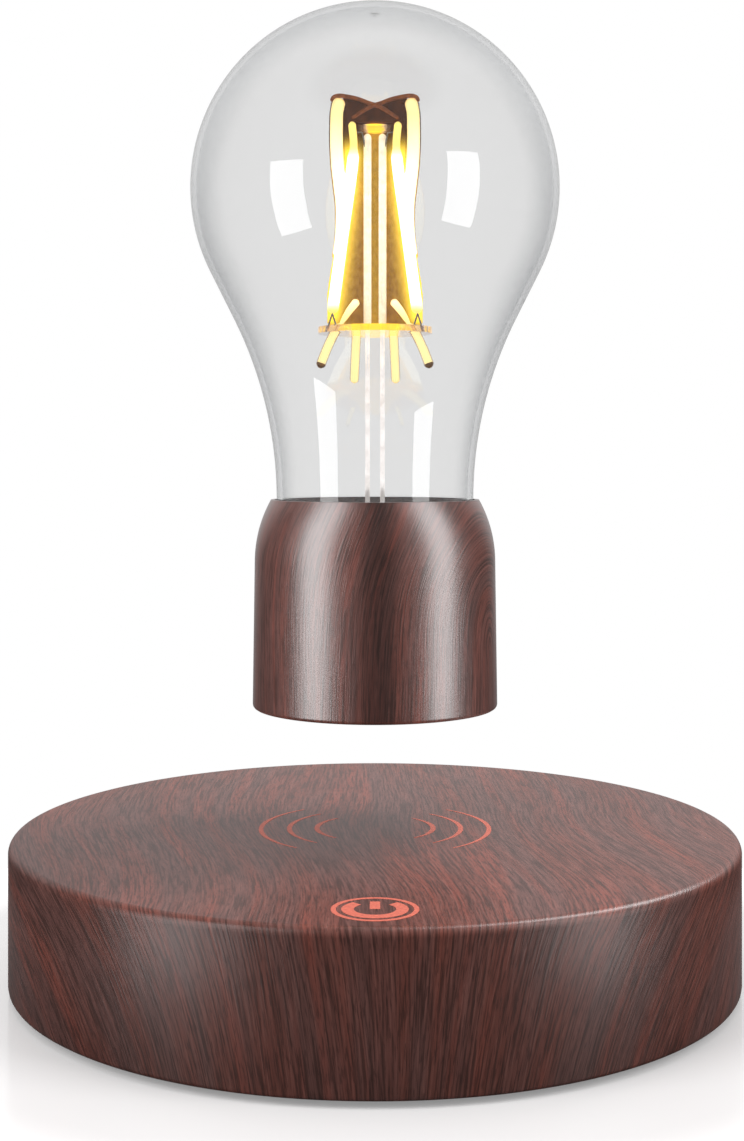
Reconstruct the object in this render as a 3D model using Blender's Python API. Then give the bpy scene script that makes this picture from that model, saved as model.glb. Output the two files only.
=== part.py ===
"""Levitating lamp: a round base, and a clear bulb that floats above it.

Metres, +Z up. The origin is on the floor, on the lamp's axis. The dial marks face -Y.
The base stands on four rubber feet and holds the magnets, coils and electronics.
The bulb is built around the same axis, from the underside of its socket upwards.
"""

import math

import bmesh
import bpy
from mathutils import Vector

# Clearances
GAP = 0.0003
OVERRUN = 0.002

# Facets
SHELL_SEGMENTS = 56
ROUND_SEGMENTS = 40
MEDIUM_SEGMENTS = 24
SMALL_SEGMENTS = 12
TUBE_SIDES = 8
SPRING_SIDES = 6
BOARD_ARC_STEPS = 10

# Base shell
BASE_RADIUS = 0.0625
BASE_HEIGHT = 0.025
TOP_EDGE_RADIUS = 0.0014
BOTTOM_EDGE_RADIUS = 0.0008
SHELL_WALL = 0.0025
SHELL_TOP = 0.002
BOSS_RADIUS = 0.0035
BOSS_INSET = 0.0095

# Bottom cover, its feet and screws
FOOT_COUNT = 4
FOOT_PROUD = 0.001
FOOT_RADIUS = 0.006
FOOT_HEIGHT = 0.0017
FOOT_INSET = 0.0125
COVER_THICKNESS = 0.0024
COUNTERBORE_DEPTH = 0.0015
SCREW_SHANK_RADIUS = 0.00125
SCREW_SHANK_LENGTH = 0.008
SCREW_HEAD_RADIUS = 0.0026
SCREW_HEAD_HEIGHT = 0.0011
CROSS_WIDTH = 0.0006
CROSS_LENGTH = 0.003
CROSS_DEPTH = 0.0006
POST_CIRCLE_SHARE = 0.432
POST_RADIUS = 0.0035
POST_HEIGHT = 0.002
PIN_RADIUS = 0.0016

# Control board and what it carries
BOARD_THICKNESS = 0.0016
BOARD_RADIUS_SHARE = 0.912
BOARD_HALF_WIDTH_SHARE = 0.496
CHIP_SIDE = 0.009
CHIP_HEIGHT = 0.0012
CHIP_PLACE_SHARES = (-0.192, -0.192)
INDUCTOR_SIDE = 0.008
INDUCTOR_HEIGHT = 0.0045
INDUCTOR_PLACE_SHARES = (0.256, -0.76)
CAPACITOR_RADIUS = 0.004
CAPACITOR_HEIGHT = 0.01
CAPACITOR_PLACE_SHARES = (0.224, 0.776)

# Magnet system on its steel yoke, its radii as shares of the base's radius
YOKE_HEADROOM = 0.0022
YOKE_SHARE = 0.704
YOKE_THICKNESS = 0.0015
RING_MAGNET_SHARE = 0.672
RING_BORE_SHARE = 0.464
RING_MAGNET_HEADROOM = 0.0009
COIL_COUNT = 4
COIL_CIRCLE_SHARE = 0.28
BOBBIN_SHARE = 0.152
BOBBIN_BARREL_SHARE = 0.0736
BOBBIN_FLANGE = 0.0008
BOBBIN_DROP = 0.0005
WINDING_SHARE = 0.144
CORE_SHARE = 0.048
SENSOR_POST_RADIUS = 0.004
SENSOR_POST_DROP = 0.0027
SENSOR_BOARD_SHARE = 0.12
SENSOR_BOARD_THICKNESS = 0.001
SENSOR_COUNT = 3
SENSOR_CIRCLE = 0.004
SENSOR_SIDE = 0.003
SENSOR_HEIGHT = 0.001
SENDER_SHARE = 0.432
SENDER_BORE_SHARE = 0.32
SENDER_HEIGHT = 0.001

# Touch switch under the dial
TOUCH_INSET = 0.0115
TOUCH_PAD_RADIUS = 0.0066
TOUCH_PAD_THICKNESS = 0.0004
SPRING_RADIUS = 0.0025
SPRING_WIRE = 0.00035
SPRING_TURNS = 5
SPRING_STEPS = 8

# Power inlet at the rear
JACK_WIDTH = 0.009
JACK_HEIGHT = 0.0105
JACK_DEPTH_SHARE = 0.216
JACK_NOSE_RADIUS = 0.0037
JACK_RECESS = 0.0007
JACK_BORE_RADIUS = 0.0028
JACK_BORE_DEPTH = 0.0095
JACK_PIN_RADIUS = 0.001
JACK_PIN_LENGTH = 0.0085

# Floating bulb: socket
LEVITATION_GAP = 0.0212
SOCKET_HEIGHT = 0.036
SOCKET_FOOT_FLARE = 0.00035
SOCKET_SHOULDER = 0.0028
SOCKET_RIM_WALL = 0.001
SHOULDER_RADIUS = 0.022
SOCKET_EDGE_RADIUS = 0.0008
SOCKET_WALL = 0.0016
NECK_BORE_DEPTH = 0.011
NECK_INSERTION = 0.009

# Floating bulb: what the socket holds
PLATE_THICKNESS = 0.0015
FLOAT_MAGNET_INSET = 0.0053
FLOAT_MAGNET_HEIGHT_SHARE = 2 / 9
HOLDER_WALL = 0.0012
HOLDER_TOP = 0.0012
HOLDER_POST_COUNT = 3
HOLDER_POST_RADIUS = 0.0015
HOLDER_POST_OUTSET = 0.0005
HOLDER_POST_HEIGHT = 0.0022
RECEIVER_HEIGHT = 0.003
RECTIFIER_INSET = 0.0018
RECTIFIER_THICKNESS = 0.001
BRIDGE_SIDE = 0.005
BRIDGE_HEIGHT = 0.0012
BRIDGE_PLACE = (-0.006, 0.006)
SMOOTHING_RADIUS = 0.003
SMOOTHING_HEADROOM = 0.0021
SMOOTHING_PLACE = (0.007, 0.006)
PLUG_FLANGE = 0.0015
PLUG_BOSS_HEIGHT = 0.004

# Floating bulb: glass, its neck as shares of the sphere's radius
NECK_SHARE = 0.534375
NECK_ARC_SHARE = 2.1875
GLASS_CONE_ANGLE = math.radians(26.6)
GLASS_RADIUS = 0.032
GLASS_THICKNESS = 0.001
NECK_ARC_STEPS = 4
SPHERE_STEPS = 9

# Floating bulb: rods and discs
ROD_RADIUS = 0.0004
ROD_SPACING = 0.0026
ROD_OFFSET = 0.0022
ROD_TAIL = 0.001
LOWER_DISC_DROP = 0.0249
LOWER_DISC_RADIUS = 0.0099
LOWER_DISC_THICKNESS = 0.0011
UPPER_DISC_RISE = 0.0097
UPPER_DISC_RADIUS = 0.0035
UPPER_DISC_THICKNESS = 0.0012

# Floating bulb: light guide of four fins with ribs, a roof and four legs
FIN_ANGLE = math.radians(30)
FIN_HALF_THICKNESS = 0.0006
RIB_RADIUS = 0.00135
GUIDE_RADIUS = 0.0092
ROOF_THICKNESS = 0.0054
ROOF_DIP = 0.0026
POCKET_DROP = 0.0018
RIB_STEPS = 6
LEG_RADIUS = 0.00085
LEG_START_RISE = 0.0042
LEG_TIP_RADIUS = 0.0105
FRONT_LEG_START_REACH = 0.0039
FRONT_LEG_START_OFFSET = 0.0009
FRONT_LEG_DROP = 0.0062
FRONT_LEG_TURN = math.radians(-4)
REAR_LEG_START_REACH = 0.0036
REAR_LEG_START_OFFSET = 0.0006
REAR_LEG_DROP = 0.0082
REAR_LEG_TURN = math.radians(39)
LEG_STEPS = 6
LEG_BEND_SHARES = (0.63, 0.36)
ROOF_WAIST_SHARE = 0.87
ROOF_RIB_SPAN = math.radians(100)
RIB_RISE_SHARES = (0.60, 0.76)

# Height up the guide as far as its roof, then radius to the rib's middle
GUIDE_SHARES = (
    (0.00, 1.00),
    (0.15, 1.00),
    (0.23, 0.955),
    (0.325, 0.885),
    (0.415, 0.815),
    (0.51, 0.77),
    (0.60, 0.75),
    (0.68, 0.775),
    (0.785, 0.81),
    (0.90, 0.82),
)
# The same for the roof, from its underside to its top
ROOF_SHARES = (
    (0.02, 0.80),
    (0.12, 0.79),
    (0.50, 0.755),
    (0.85, 0.70),
    (1.00, 0.62),
)

# Floating bulb: filaments in front of and behind the fins
FILAMENT_RADIUS = 0.0007
LEAD_RADIUS = 0.0002
FILAMENT_LOW_REACH = 0.0093
FILAMENT_HIGH_REACH = 0.0051
FILAMENT_LOW_RISE = 0.003
FILAMENT_HIGH_DROP = 0.0046
FILAMENT_TIP = 0.0006
LEAD_KNEE_REACH = 0.0042
LEAD_KNEE_OFFSET = 0.0013
LEAD_KNEE_DROP = 0.0012
LEAD_END_REACH = 0.0032
LEAD_END_OFFSET = 0.0008

# Levels of the base, from the floor up
COVER_BOTTOM = FOOT_PROUD
COVER_TOP = COVER_BOTTOM + COVER_THICKNESS
BOARD_BOTTOM = COVER_TOP + POST_HEIGHT + GAP
BOARD_TOP = BOARD_BOTTOM + BOARD_THICKNESS
YOKE_BOTTOM = BOARD_TOP + YOKE_HEADROOM
YOKE_TOP = YOKE_BOTTOM + YOKE_THICKNESS
CEILING = BASE_HEIGHT - SHELL_TOP
MAGNET_SEAT = YOKE_TOP + GAP
SENDER_BOTTOM = CEILING - GAP - SENDER_HEIGHT
RING_MAGNET_HEIGHT = SENDER_BOTTOM - RING_MAGNET_HEADROOM - MAGNET_SEAT
SCREW_SEAT = COVER_BOTTOM + COUNTERBORE_DEPTH - GAP
JACK_BOTTOM = BOARD_TOP + GAP
JACK_AXIS = JACK_BOTTOM + JACK_HEIGHT / 2

# Radii and places in the base, from the shell inwards
INNER_RADIUS = BASE_RADIUS - SHELL_WALL
COVER_RADIUS = INNER_RADIUS - GAP
BOSS_CIRCLE = BASE_RADIUS - BOSS_INSET
FOOT_CIRCLE = BASE_RADIUS - FOOT_INSET
TOUCH_DISTANCE = BASE_RADIUS - TOUCH_INSET
POST_CIRCLE = BASE_RADIUS * POST_CIRCLE_SHARE
BOARD_RADIUS = BASE_RADIUS * BOARD_RADIUS_SHARE
BOARD_HALF_WIDTH = BASE_RADIUS * BOARD_HALF_WIDTH_SHARE
JACK_FRONT = math.sqrt(INNER_RADIUS**2 - (JACK_WIDTH / 2) ** 2) - GAP
JACK_DEPTH = BASE_RADIUS * JACK_DEPTH_SHARE

# Levels of the bulb, from the underside of its socket up
SOCKET_BOTTOM = BASE_HEIGHT + LEVITATION_GAP
NECK_RADIUS = GLASS_RADIUS * NECK_SHARE
NECK_ARC_RADIUS = GLASS_RADIUS * NECK_ARC_SHARE
NECK_ARC_END = NECK_RADIUS + NECK_ARC_RADIUS * (1 - math.cos(GLASS_CONE_ANGLE))
NECK_ARC_HEIGHT = NECK_ARC_RADIUS * math.sin(GLASS_CONE_ANGLE)
CONE_TOP_RADIUS = GLASS_RADIUS * math.cos(GLASS_CONE_ANGLE)
CONE_HEIGHT = (CONE_TOP_RADIUS - NECK_ARC_END) / math.tan(GLASS_CONE_ANGLE)
CONE_TOP = SOCKET_HEIGHT + NECK_ARC_HEIGHT + CONE_HEIGHT
SPHERE_CENTRE = CONE_TOP + GLASS_RADIUS * math.sin(GLASS_CONE_ANGLE)
SOCKET_RIM_RADIUS = NECK_RADIUS + SOCKET_RIM_WALL
SOCKET_BODY_RADIUS = SOCKET_RIM_RADIUS + SOCKET_SHOULDER
SOCKET_BOTTOM_RADIUS = SOCKET_BODY_RADIUS + SOCKET_FOOT_FLARE
CAVITY_RADIUS = SOCKET_BODY_RADIUS - SOCKET_WALL
NECK_BORE_RADIUS = NECK_RADIUS + GAP
LEDGE = SOCKET_HEIGHT - NECK_BORE_DEPTH
PLATE_RADIUS = CAVITY_RADIUS - GAP
MAGNET_BOTTOM = PLATE_THICKNESS + GAP
MAGNET_TOP = MAGNET_BOTTOM + SOCKET_HEIGHT * FLOAT_MAGNET_HEIGHT_SHARE
FLOAT_MAGNET_RADIUS = CAVITY_RADIUS - FLOAT_MAGNET_INSET
HOLDER_DECK = MAGNET_TOP + GAP + HOLDER_TOP
RECTIFIER_BOTTOM = HOLDER_DECK + HOLDER_POST_HEIGHT + GAP
RECTIFIER_TOP = RECTIFIER_BOTTOM + RECTIFIER_THICKNESS
PLUG_FLANGE_TOP = LEDGE - GAP
PLUG_FLANGE_BOTTOM = PLUG_FLANGE_TOP - PLUG_FLANGE
GLASS_BOTTOM = SOCKET_HEIGHT - NECK_INSERTION
LOWER_DISC_HEIGHT = SPHERE_CENTRE - LOWER_DISC_DROP
UPPER_DISC_HEIGHT = SPHERE_CENTRE + UPPER_DISC_RISE
GUIDE_BOTTOM = LOWER_DISC_HEIGHT + LOWER_DISC_THICKNESS + GAP
ROOF_BOTTOM = UPPER_DISC_HEIGHT + UPPER_DISC_THICKNESS + GAP
FILAMENT_OFFSET = FIN_HALF_THICKNESS + GAP + FILAMENT_RADIUS


# Scene, materials and objects


def clear_scene():
    for obj in list(bpy.data.objects):
        bpy.data.objects.remove(obj, do_unlink=True)


def material(name, colour, roughness, metallic=0.0):
    made = bpy.data.materials.new(name)
    made.use_nodes = True
    shader = made.node_tree.nodes["Principled BSDF"]
    shader.inputs["Base Color"].default_value = (*colour, 1.0)
    shader.inputs["Roughness"].default_value = roughness
    shader.inputs["Metallic"].default_value = metallic
    return made


def add_object(name, mesh, surface, place=(0, 0, 0), parent=None):
    """A named object on a mesh, shaded smooth with its sharp edges kept."""
    obj = bpy.data.objects.new(name, mesh)
    bpy.context.scene.collection.objects.link(obj)
    if not mesh.materials:
        mesh.materials.append(surface)
        mesh.shade_smooth()
        mesh.set_sharp_from_angle(angle=math.radians(35))
    obj.location = place
    obj.parent = parent
    return obj


def add_empty(name, place, parent=None):
    empty = bpy.data.objects.new(name, None)
    bpy.context.scene.collection.objects.link(empty)
    empty.location = place
    empty.parent = parent
    return empty


def combine(obj, helper, operation):
    """Cuts or joins a helper mesh into obj with a live Boolean."""
    helper.hide_render = True
    helper.display_type = "WIRE"
    modifier = obj.modifiers.new(helper.name, "BOOLEAN")
    modifier.operation = operation
    modifier.solver = "EXACT"
    modifier.object = helper


def cut(obj, name, mesh, place=(0, 0, 0)):
    helper = add_object(name, mesh, HELPER, place, obj)
    combine(obj, helper, "DIFFERENCE")


def join(obj, name, mesh, place=(0, 0, 0)):
    helper = add_object(name, mesh, HELPER, place, obj)
    combine(obj, helper, "UNION")


# Meshes


def finish_mesh(name, bm):
    bmesh.ops.recalc_face_normals(bm, faces=bm.faces)
    mesh = bpy.data.meshes.new(name)
    bm.to_mesh(mesh)
    bm.free()
    return mesh


def stacked(name, rings, closed=False):
    """Skins a stack of vertex rings. A ring of one point closes an end; closed joins last to first."""
    bm = bmesh.new()
    made = [[bm.verts.new(point) for point in ring] for ring in rings]
    pairs = list(zip(made, made[1:]))
    if closed:
        pairs.append((made[-1], made[0]))
    for low, high in pairs:
        count = max(len(low), len(high))
        for i in range(count):
            j = (i + 1) % count
            if len(low) == 1:
                bm.faces.new((low[0], high[i], high[j]))
            elif len(high) == 1:
                bm.faces.new((low[i], low[j], high[0]))
            else:
                bm.faces.new((low[i], low[j], high[j], high[i]))
    if not closed:
        for ring in (made[0], made[-1]):
            if len(ring) > 1:
                bm.faces.new(ring)
    return finish_mesh(name, bm)


def turned(name, profile, segments=ROUND_SEGMENTS):
    """Turns (radius, height) points around Z, into a solid where the profile ends on the axis."""
    rings = []
    for radius, height in profile:
        if radius == 0:
            rings.append([(0, 0, height)])
            continue
        angles = [math.tau * i / segments for i in range(segments)]
        rings.append([(radius * math.cos(a), radius * math.sin(a), height) for a in angles])
    on_axis = profile[0][0] == 0 or profile[-1][0] == 0
    return stacked(name, rings, closed=not on_axis)


def disc(name, radius, bottom, top, segments=ROUND_SEGMENTS):
    return turned(name, [(0, bottom), (radius, bottom), (radius, top), (0, top)], segments)


def ring(name, bore, radius, bottom, top, segments=ROUND_SEGMENTS):
    return turned(name, [(bore, bottom), (radius, bottom), (radius, top), (bore, top)], segments)


def block(name, width, depth, bottom, top):
    bm = bmesh.new()
    bmesh.ops.create_cube(bm, size=1)
    bmesh.ops.scale(bm, vec=(width, depth, top - bottom), verts=bm.verts)
    bmesh.ops.translate(bm, vec=(0, 0, (top + bottom) / 2), verts=bm.verts)
    return finish_mesh(name, bm)


def arc(centre, radius, start, end, steps):
    """Points on an arc in the (radius, height) plane, angles from +radius towards +height."""
    points = []
    for i in range(steps + 1):
        angle = start + (end - start) * i / steps
        points.append((centre[0] + radius * math.cos(angle), centre[1] + radius * math.sin(angle)))
    return points


def tube(name, points, radii, sides=TUBE_SIDES):
    """A round tube along points, with a radius at each, whose frame never twists."""
    points = [Vector(p) for p in points]
    normal = (points[1] - points[0]).orthogonal().normalized()
    rings = []
    for i, (point, radius) in enumerate(zip(points, radii)):
        ahead = points[min(i + 1, len(points) - 1)] - points[max(i - 1, 0)]
        ahead.normalize()
        normal = (normal - ahead * normal.dot(ahead)).normalized()
        side = ahead.cross(normal)
        angles = [math.tau * k / sides for k in range(sides)]
        rings.append([point + radius * (normal * math.cos(a) + side * math.sin(a)) for a in angles])
    return stacked(name, rings)


def around(count, circle, start=0.0):
    """Places and angles evenly spaced on a circle about Z."""
    for i in range(count):
        angle = start + math.tau * i / count
        yield i + 1, angle, (circle * math.cos(angle), circle * math.sin(angle), 0)


# Base shell, cover, feet and screws


def make_base_shell(parent):
    edge = (BASE_RADIUS - TOP_EDGE_RADIUS, BASE_HEIGHT - TOP_EDGE_RADIUS)
    foot = (BASE_RADIUS - BOTTOM_EDGE_RADIUS, COVER_BOTTOM + BOTTOM_EDGE_RADIUS)
    profile = [(0, BASE_HEIGHT)]
    profile += arc(edge, TOP_EDGE_RADIUS, math.radians(90), 0, 5)
    profile += arc(foot, BOTTOM_EDGE_RADIUS, 0, math.radians(-90), 2)
    profile += [(INNER_RADIUS, COVER_BOTTOM), (INNER_RADIUS, CEILING), (0, CEILING)]
    surface = material("base_wood_film", (0.085, 0.045, 0.036), 0.38)
    shell = add_object("base_shell", turned("base_shell", profile, SHELL_SEGMENTS), surface, parent=parent)
    for number, _, place in around(FOOT_COUNT, BOSS_CIRCLE, math.radians(45)):
        boss = disc("boss", BOSS_RADIUS, COVER_TOP + GAP, CEILING + SHELL_TOP / 2, SMALL_SEGMENTS)
        join(shell, f"boss_{number}", boss, place)
    pilot_top = SCREW_SEAT + SCREW_SHANK_LENGTH + GAP
    for number, _, place in around(FOOT_COUNT, BOSS_CIRCLE, math.radians(45)):
        pilot = disc("pilot", SCREW_SHANK_RADIUS + GAP, COVER_TOP, pilot_top, SMALL_SEGMENTS)
        cut(shell, f"pilot_{number}", pilot, place)
    inlet = tube(
        "inlet",
        [(0, INNER_RADIUS - SHELL_WALL, JACK_AXIS), (0, BASE_RADIUS + OVERRUN, JACK_AXIS)],
        [JACK_NOSE_RADIUS + GAP] * 2,
        SMALL_SEGMENTS,
    )
    cut(shell, "inlet_hole", inlet)


def make_bottom_cover(parent):
    surface = material("cover_plastic", (0.02, 0.02, 0.02), 0.55)
    plate = disc("base_bottom_cover", COVER_RADIUS, COVER_BOTTOM, COVER_TOP)
    cover = add_object("base_bottom_cover", plate, surface, parent=parent)
    middle = (COVER_BOTTOM + COVER_TOP) / 2
    for number, _, place in around(FOOT_COUNT, POST_CIRCLE):
        shoulder = COVER_TOP + POST_HEIGHT
        profile = [
            (0, middle),
            (POST_RADIUS, middle),
            (POST_RADIUS, shoulder),
            (PIN_RADIUS, shoulder),
            (PIN_RADIUS, YOKE_BOTTOM - GAP),
            (0, YOKE_BOTTOM - GAP),
        ]
        join(cover, f"post_{number}", turned("post", profile, SMALL_SEGMENTS), place)
    recess_top = COVER_BOTTOM + FOOT_HEIGHT - FOOT_PROUD + GAP
    for number, _, place in around(FOOT_COUNT, FOOT_CIRCLE):
        recess = disc("recess", FOOT_RADIUS + GAP, COVER_BOTTOM - OVERRUN, recess_top, MEDIUM_SEGMENTS)
        cut(cover, f"foot_recess_{number}", recess, place)
    for number, _, place in around(FOOT_COUNT, BOSS_CIRCLE, math.radians(45)):
        profile = [
            (0, COVER_BOTTOM - OVERRUN),
            (SCREW_HEAD_RADIUS + GAP, COVER_BOTTOM - OVERRUN),
            (SCREW_HEAD_RADIUS + GAP, SCREW_SEAT + GAP),
            (SCREW_SHANK_RADIUS + GAP, SCREW_SEAT + GAP),
            (SCREW_SHANK_RADIUS + GAP, COVER_TOP + OVERRUN),
            (0, COVER_TOP + OVERRUN),
        ]
        cut(cover, f"screw_hole_{number}", turned("screw_hole", profile, SMALL_SEGMENTS), place)


def make_feet(parent):
    surface = material("foot_rubber", (0.015, 0.015, 0.015), 0.8)
    mesh = disc("rubber_foot", FOOT_RADIUS, 0, FOOT_HEIGHT, MEDIUM_SEGMENTS)
    for number, _, place in around(FOOT_COUNT, FOOT_CIRCLE):
        add_object(f"rubber_foot_{number}", mesh, surface, place, parent)


def make_cover_screws(parent):
    surface = material("screw_steel", (0.45, 0.45, 0.46), 0.3, 1.0)
    head = SCREW_SEAT - SCREW_HEAD_HEIGHT
    profile = [
        (0, head),
        (SCREW_HEAD_RADIUS, head),
        (SCREW_HEAD_RADIUS, SCREW_SEAT),
        (SCREW_SHANK_RADIUS, SCREW_SEAT),
        (SCREW_SHANK_RADIUS, SCREW_SEAT + SCREW_SHANK_LENGTH),
        (0, SCREW_SEAT + SCREW_SHANK_LENGTH),
    ]
    mesh = turned("cover_screw", profile, SMALL_SEGMENTS)
    for number, angle, place in around(FOOT_COUNT, BOSS_CIRCLE, math.radians(45)):
        screw = add_object(f"cover_screw_{number}", mesh, surface, place, parent)
        screw.rotation_euler.z = angle
        for name, width, depth in (("slot", CROSS_LENGTH, CROSS_WIDTH), ("bar", CROSS_WIDTH, CROSS_LENGTH)):
            slot = block(name, width, depth, head - OVERRUN, head + CROSS_DEPTH)
            cut(screw, f"cross_{name}_{number}", slot)


# Control board and its parts


def board_outline():
    """A disc with two sides cut straight, so that it clears the screw bosses."""
    corner = math.acos(BOARD_HALF_WIDTH / BOARD_RADIUS)
    points = []
    for start in (corner, corner + math.pi):
        sweep = math.pi - 2 * corner
        for i in range(BOARD_ARC_STEPS + 1):
            angle = start + sweep * i / BOARD_ARC_STEPS
            points.append((BOARD_RADIUS * math.cos(angle), BOARD_RADIUS * math.sin(angle)))
    return points


def make_control_board(parent):
    outline = board_outline()
    rings = [[(x, y, height) for x, y in outline] for height in (BOARD_BOTTOM, BOARD_TOP)]
    surface = material("board_green", (0.02, 0.12, 0.05), 0.45)
    board = add_object("control_pcb", stacked("control_pcb", rings), surface, parent=parent)
    for number, _, place in around(FOOT_COUNT, POST_CIRCLE):
        low, high = BOARD_BOTTOM - OVERRUN, BOARD_TOP + OVERRUN
        cut(board, f"pin_hole_{number}", disc("hole", PIN_RADIUS + GAP, low, high, SMALL_SEGMENTS), place)


def on_board(shares):
    """A place on the board, from its x and y as shares of the base's radius."""
    return (BASE_RADIUS * shares[0], BASE_RADIUS * shares[1], 0)


def make_board_parts(parent):
    bottom = BOARD_TOP + GAP
    chip = block("microcontroller", CHIP_SIDE, CHIP_SIDE, bottom, bottom + CHIP_HEIGHT)
    black = material("chip_black", (0.02, 0.02, 0.022), 0.4)
    add_object("microcontroller", chip, black, on_board(CHIP_PLACE_SHARES), parent)
    inductor = block("power_inductor", INDUCTOR_SIDE, INDUCTOR_SIDE, bottom, bottom + INDUCTOR_HEIGHT)
    grey = material("inductor_grey", (0.12, 0.12, 0.12), 0.6)
    add_object("power_inductor", inductor, grey, on_board(INDUCTOR_PLACE_SHARES), parent)
    can = disc("capacitor", CAPACITOR_RADIUS, bottom, bottom + CAPACITOR_HEIGHT, SMALL_SEGMENTS)
    silver = material("capacitor_can", (0.6, 0.6, 0.62), 0.35, 1.0)
    for number, side in ((1, -1), (2, 1)):
        place = on_board((side * CAPACITOR_PLACE_SHARES[0], CAPACITOR_PLACE_SHARES[1]))
        add_object(f"capacitor_{number}", can, silver, place, parent)


# Yoke, ring magnet, coils and sensors


def make_magnet_system(parent):
    steel = material("yoke_steel", (0.35, 0.35, 0.36), 0.4, 1.0)
    yoke = disc("yoke_plate", BASE_RADIUS * YOKE_SHARE, YOKE_BOTTOM, YOKE_TOP)
    add_object("yoke_plate", yoke, steel, parent=parent)
    bore = BASE_RADIUS * RING_BORE_SHARE
    radius = BASE_RADIUS * RING_MAGNET_SHARE
    magnet = ring("ring_magnet", bore, radius, MAGNET_SEAT, MAGNET_SEAT + RING_MAGNET_HEIGHT)
    dark = material("ferrite", (0.05, 0.05, 0.055), 0.5)
    add_object("ring_magnet", magnet, dark, parent=parent)


def make_coils(parent):
    bottom = MAGNET_SEAT
    top = bottom + RING_MAGNET_HEIGHT - BOBBIN_DROP
    low = bottom + BOBBIN_FLANGE
    high = top - BOBBIN_FLANGE
    core_radius = BASE_RADIUS * CORE_SHARE
    flange = BASE_RADIUS * BOBBIN_SHARE
    barrel = BASE_RADIUS * BOBBIN_BARREL_SHARE
    bore = core_radius + GAP
    profile = [
        (bore, bottom),
        (flange, bottom),
        (flange, low),
        (barrel, low),
        (barrel, high),
        (flange, high),
        (flange, top),
        (bore, top),
    ]
    bobbin = turned("coil_bobbin", profile, SMALL_SEGMENTS)
    outer = BASE_RADIUS * WINDING_SHARE
    winding = ring("coil_winding", barrel + GAP, outer, low + GAP, high - GAP, SMALL_SEGMENTS)
    core = disc("coil_core", core_radius, bottom, top, SMALL_SEGMENTS)
    nylon = material("bobbin_nylon", (0.75, 0.73, 0.68), 0.5)
    copper = material("coil_copper", (0.72, 0.28, 0.12), 0.35, 1.0)
    iron = material("core_iron", (0.3, 0.3, 0.31), 0.45, 1.0)
    for number, _, place in around(COIL_COUNT, BASE_RADIUS * COIL_CIRCLE_SHARE, math.radians(45)):
        add_object(f"coil_bobbin_{number}", bobbin, nylon, place, parent)
        add_object(f"coil_winding_{number}", winding, copper, place, parent)
        add_object(f"coil_core_{number}", core, iron, place, parent)


def make_sensors(parent):
    bottom = MAGNET_SEAT
    top = bottom + RING_MAGNET_HEIGHT - SENSOR_POST_DROP
    white = material("sensor_post_nylon", (0.7, 0.7, 0.68), 0.5)
    post = disc("sensor_post", SENSOR_POST_RADIUS, bottom, top, SMALL_SEGMENTS)
    add_object("sensor_post", post, white, parent=parent)
    board_bottom = top + GAP
    board_top = board_bottom + SENSOR_BOARD_THICKNESS
    green = material("sensor_board_green", (0.02, 0.12, 0.05), 0.45)
    radius = BASE_RADIUS * SENSOR_BOARD_SHARE
    board = disc("sensor_pcb", radius, board_bottom, board_top, MEDIUM_SEGMENTS)
    add_object("sensor_pcb", board, green, parent=parent)
    seat = board_top + GAP
    chip = block("hall_sensor", SENSOR_SIDE, SENSOR_SIDE, seat, seat + SENSOR_HEIGHT)
    black = material("sensor_black", (0.02, 0.02, 0.022), 0.4)
    for number, angle, place in around(SENSOR_COUNT, SENSOR_CIRCLE, math.radians(90)):
        sensor = add_object(f"hall_sensor_{number}", chip, black, place, parent)
        sensor.rotation_euler.z = angle


def make_transmitter_coil(parent):
    bore = BASE_RADIUS * SENDER_BORE_SHARE
    radius = BASE_RADIUS * SENDER_SHARE
    coil = ring("transmitter_coil", bore, radius, SENDER_BOTTOM, SENDER_BOTTOM + SENDER_HEIGHT)
    copper = material("transmitter_copper", (0.72, 0.28, 0.12), 0.35, 1.0)
    add_object("transmitter_coil", coil, copper, parent=parent)


# Touch switch and power inlet


def make_touch_switch(parent):
    place = (0, -TOUCH_DISTANCE, 0)
    pad_top = CEILING - GAP
    pad_bottom = pad_top - TOUCH_PAD_THICKNESS
    copper = material("touch_copper", (0.72, 0.3, 0.14), 0.3, 1.0)
    pad = disc("touch_pad", TOUCH_PAD_RADIUS, pad_bottom, pad_top, MEDIUM_SEGMENTS)
    add_object("touch_pad", pad, copper, place, parent)
    low = BOARD_TOP + GAP + SPRING_WIRE
    high = pad_bottom - GAP - SPRING_WIRE
    points = []
    count = SPRING_TURNS * SPRING_STEPS
    for i in range(count + 1):
        angle = math.tau * i / SPRING_STEPS
        height = low + (high - low) * i / count
        points.append((SPRING_RADIUS * math.cos(angle), SPRING_RADIUS * math.sin(angle), height))
    spring = tube("touch_spring", points, [SPRING_WIRE] * len(points), SPRING_SIDES)
    steel = material("spring_steel", (0.5, 0.5, 0.52), 0.3, 1.0)
    add_object("touch_spring", spring, steel, place, parent)


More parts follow.
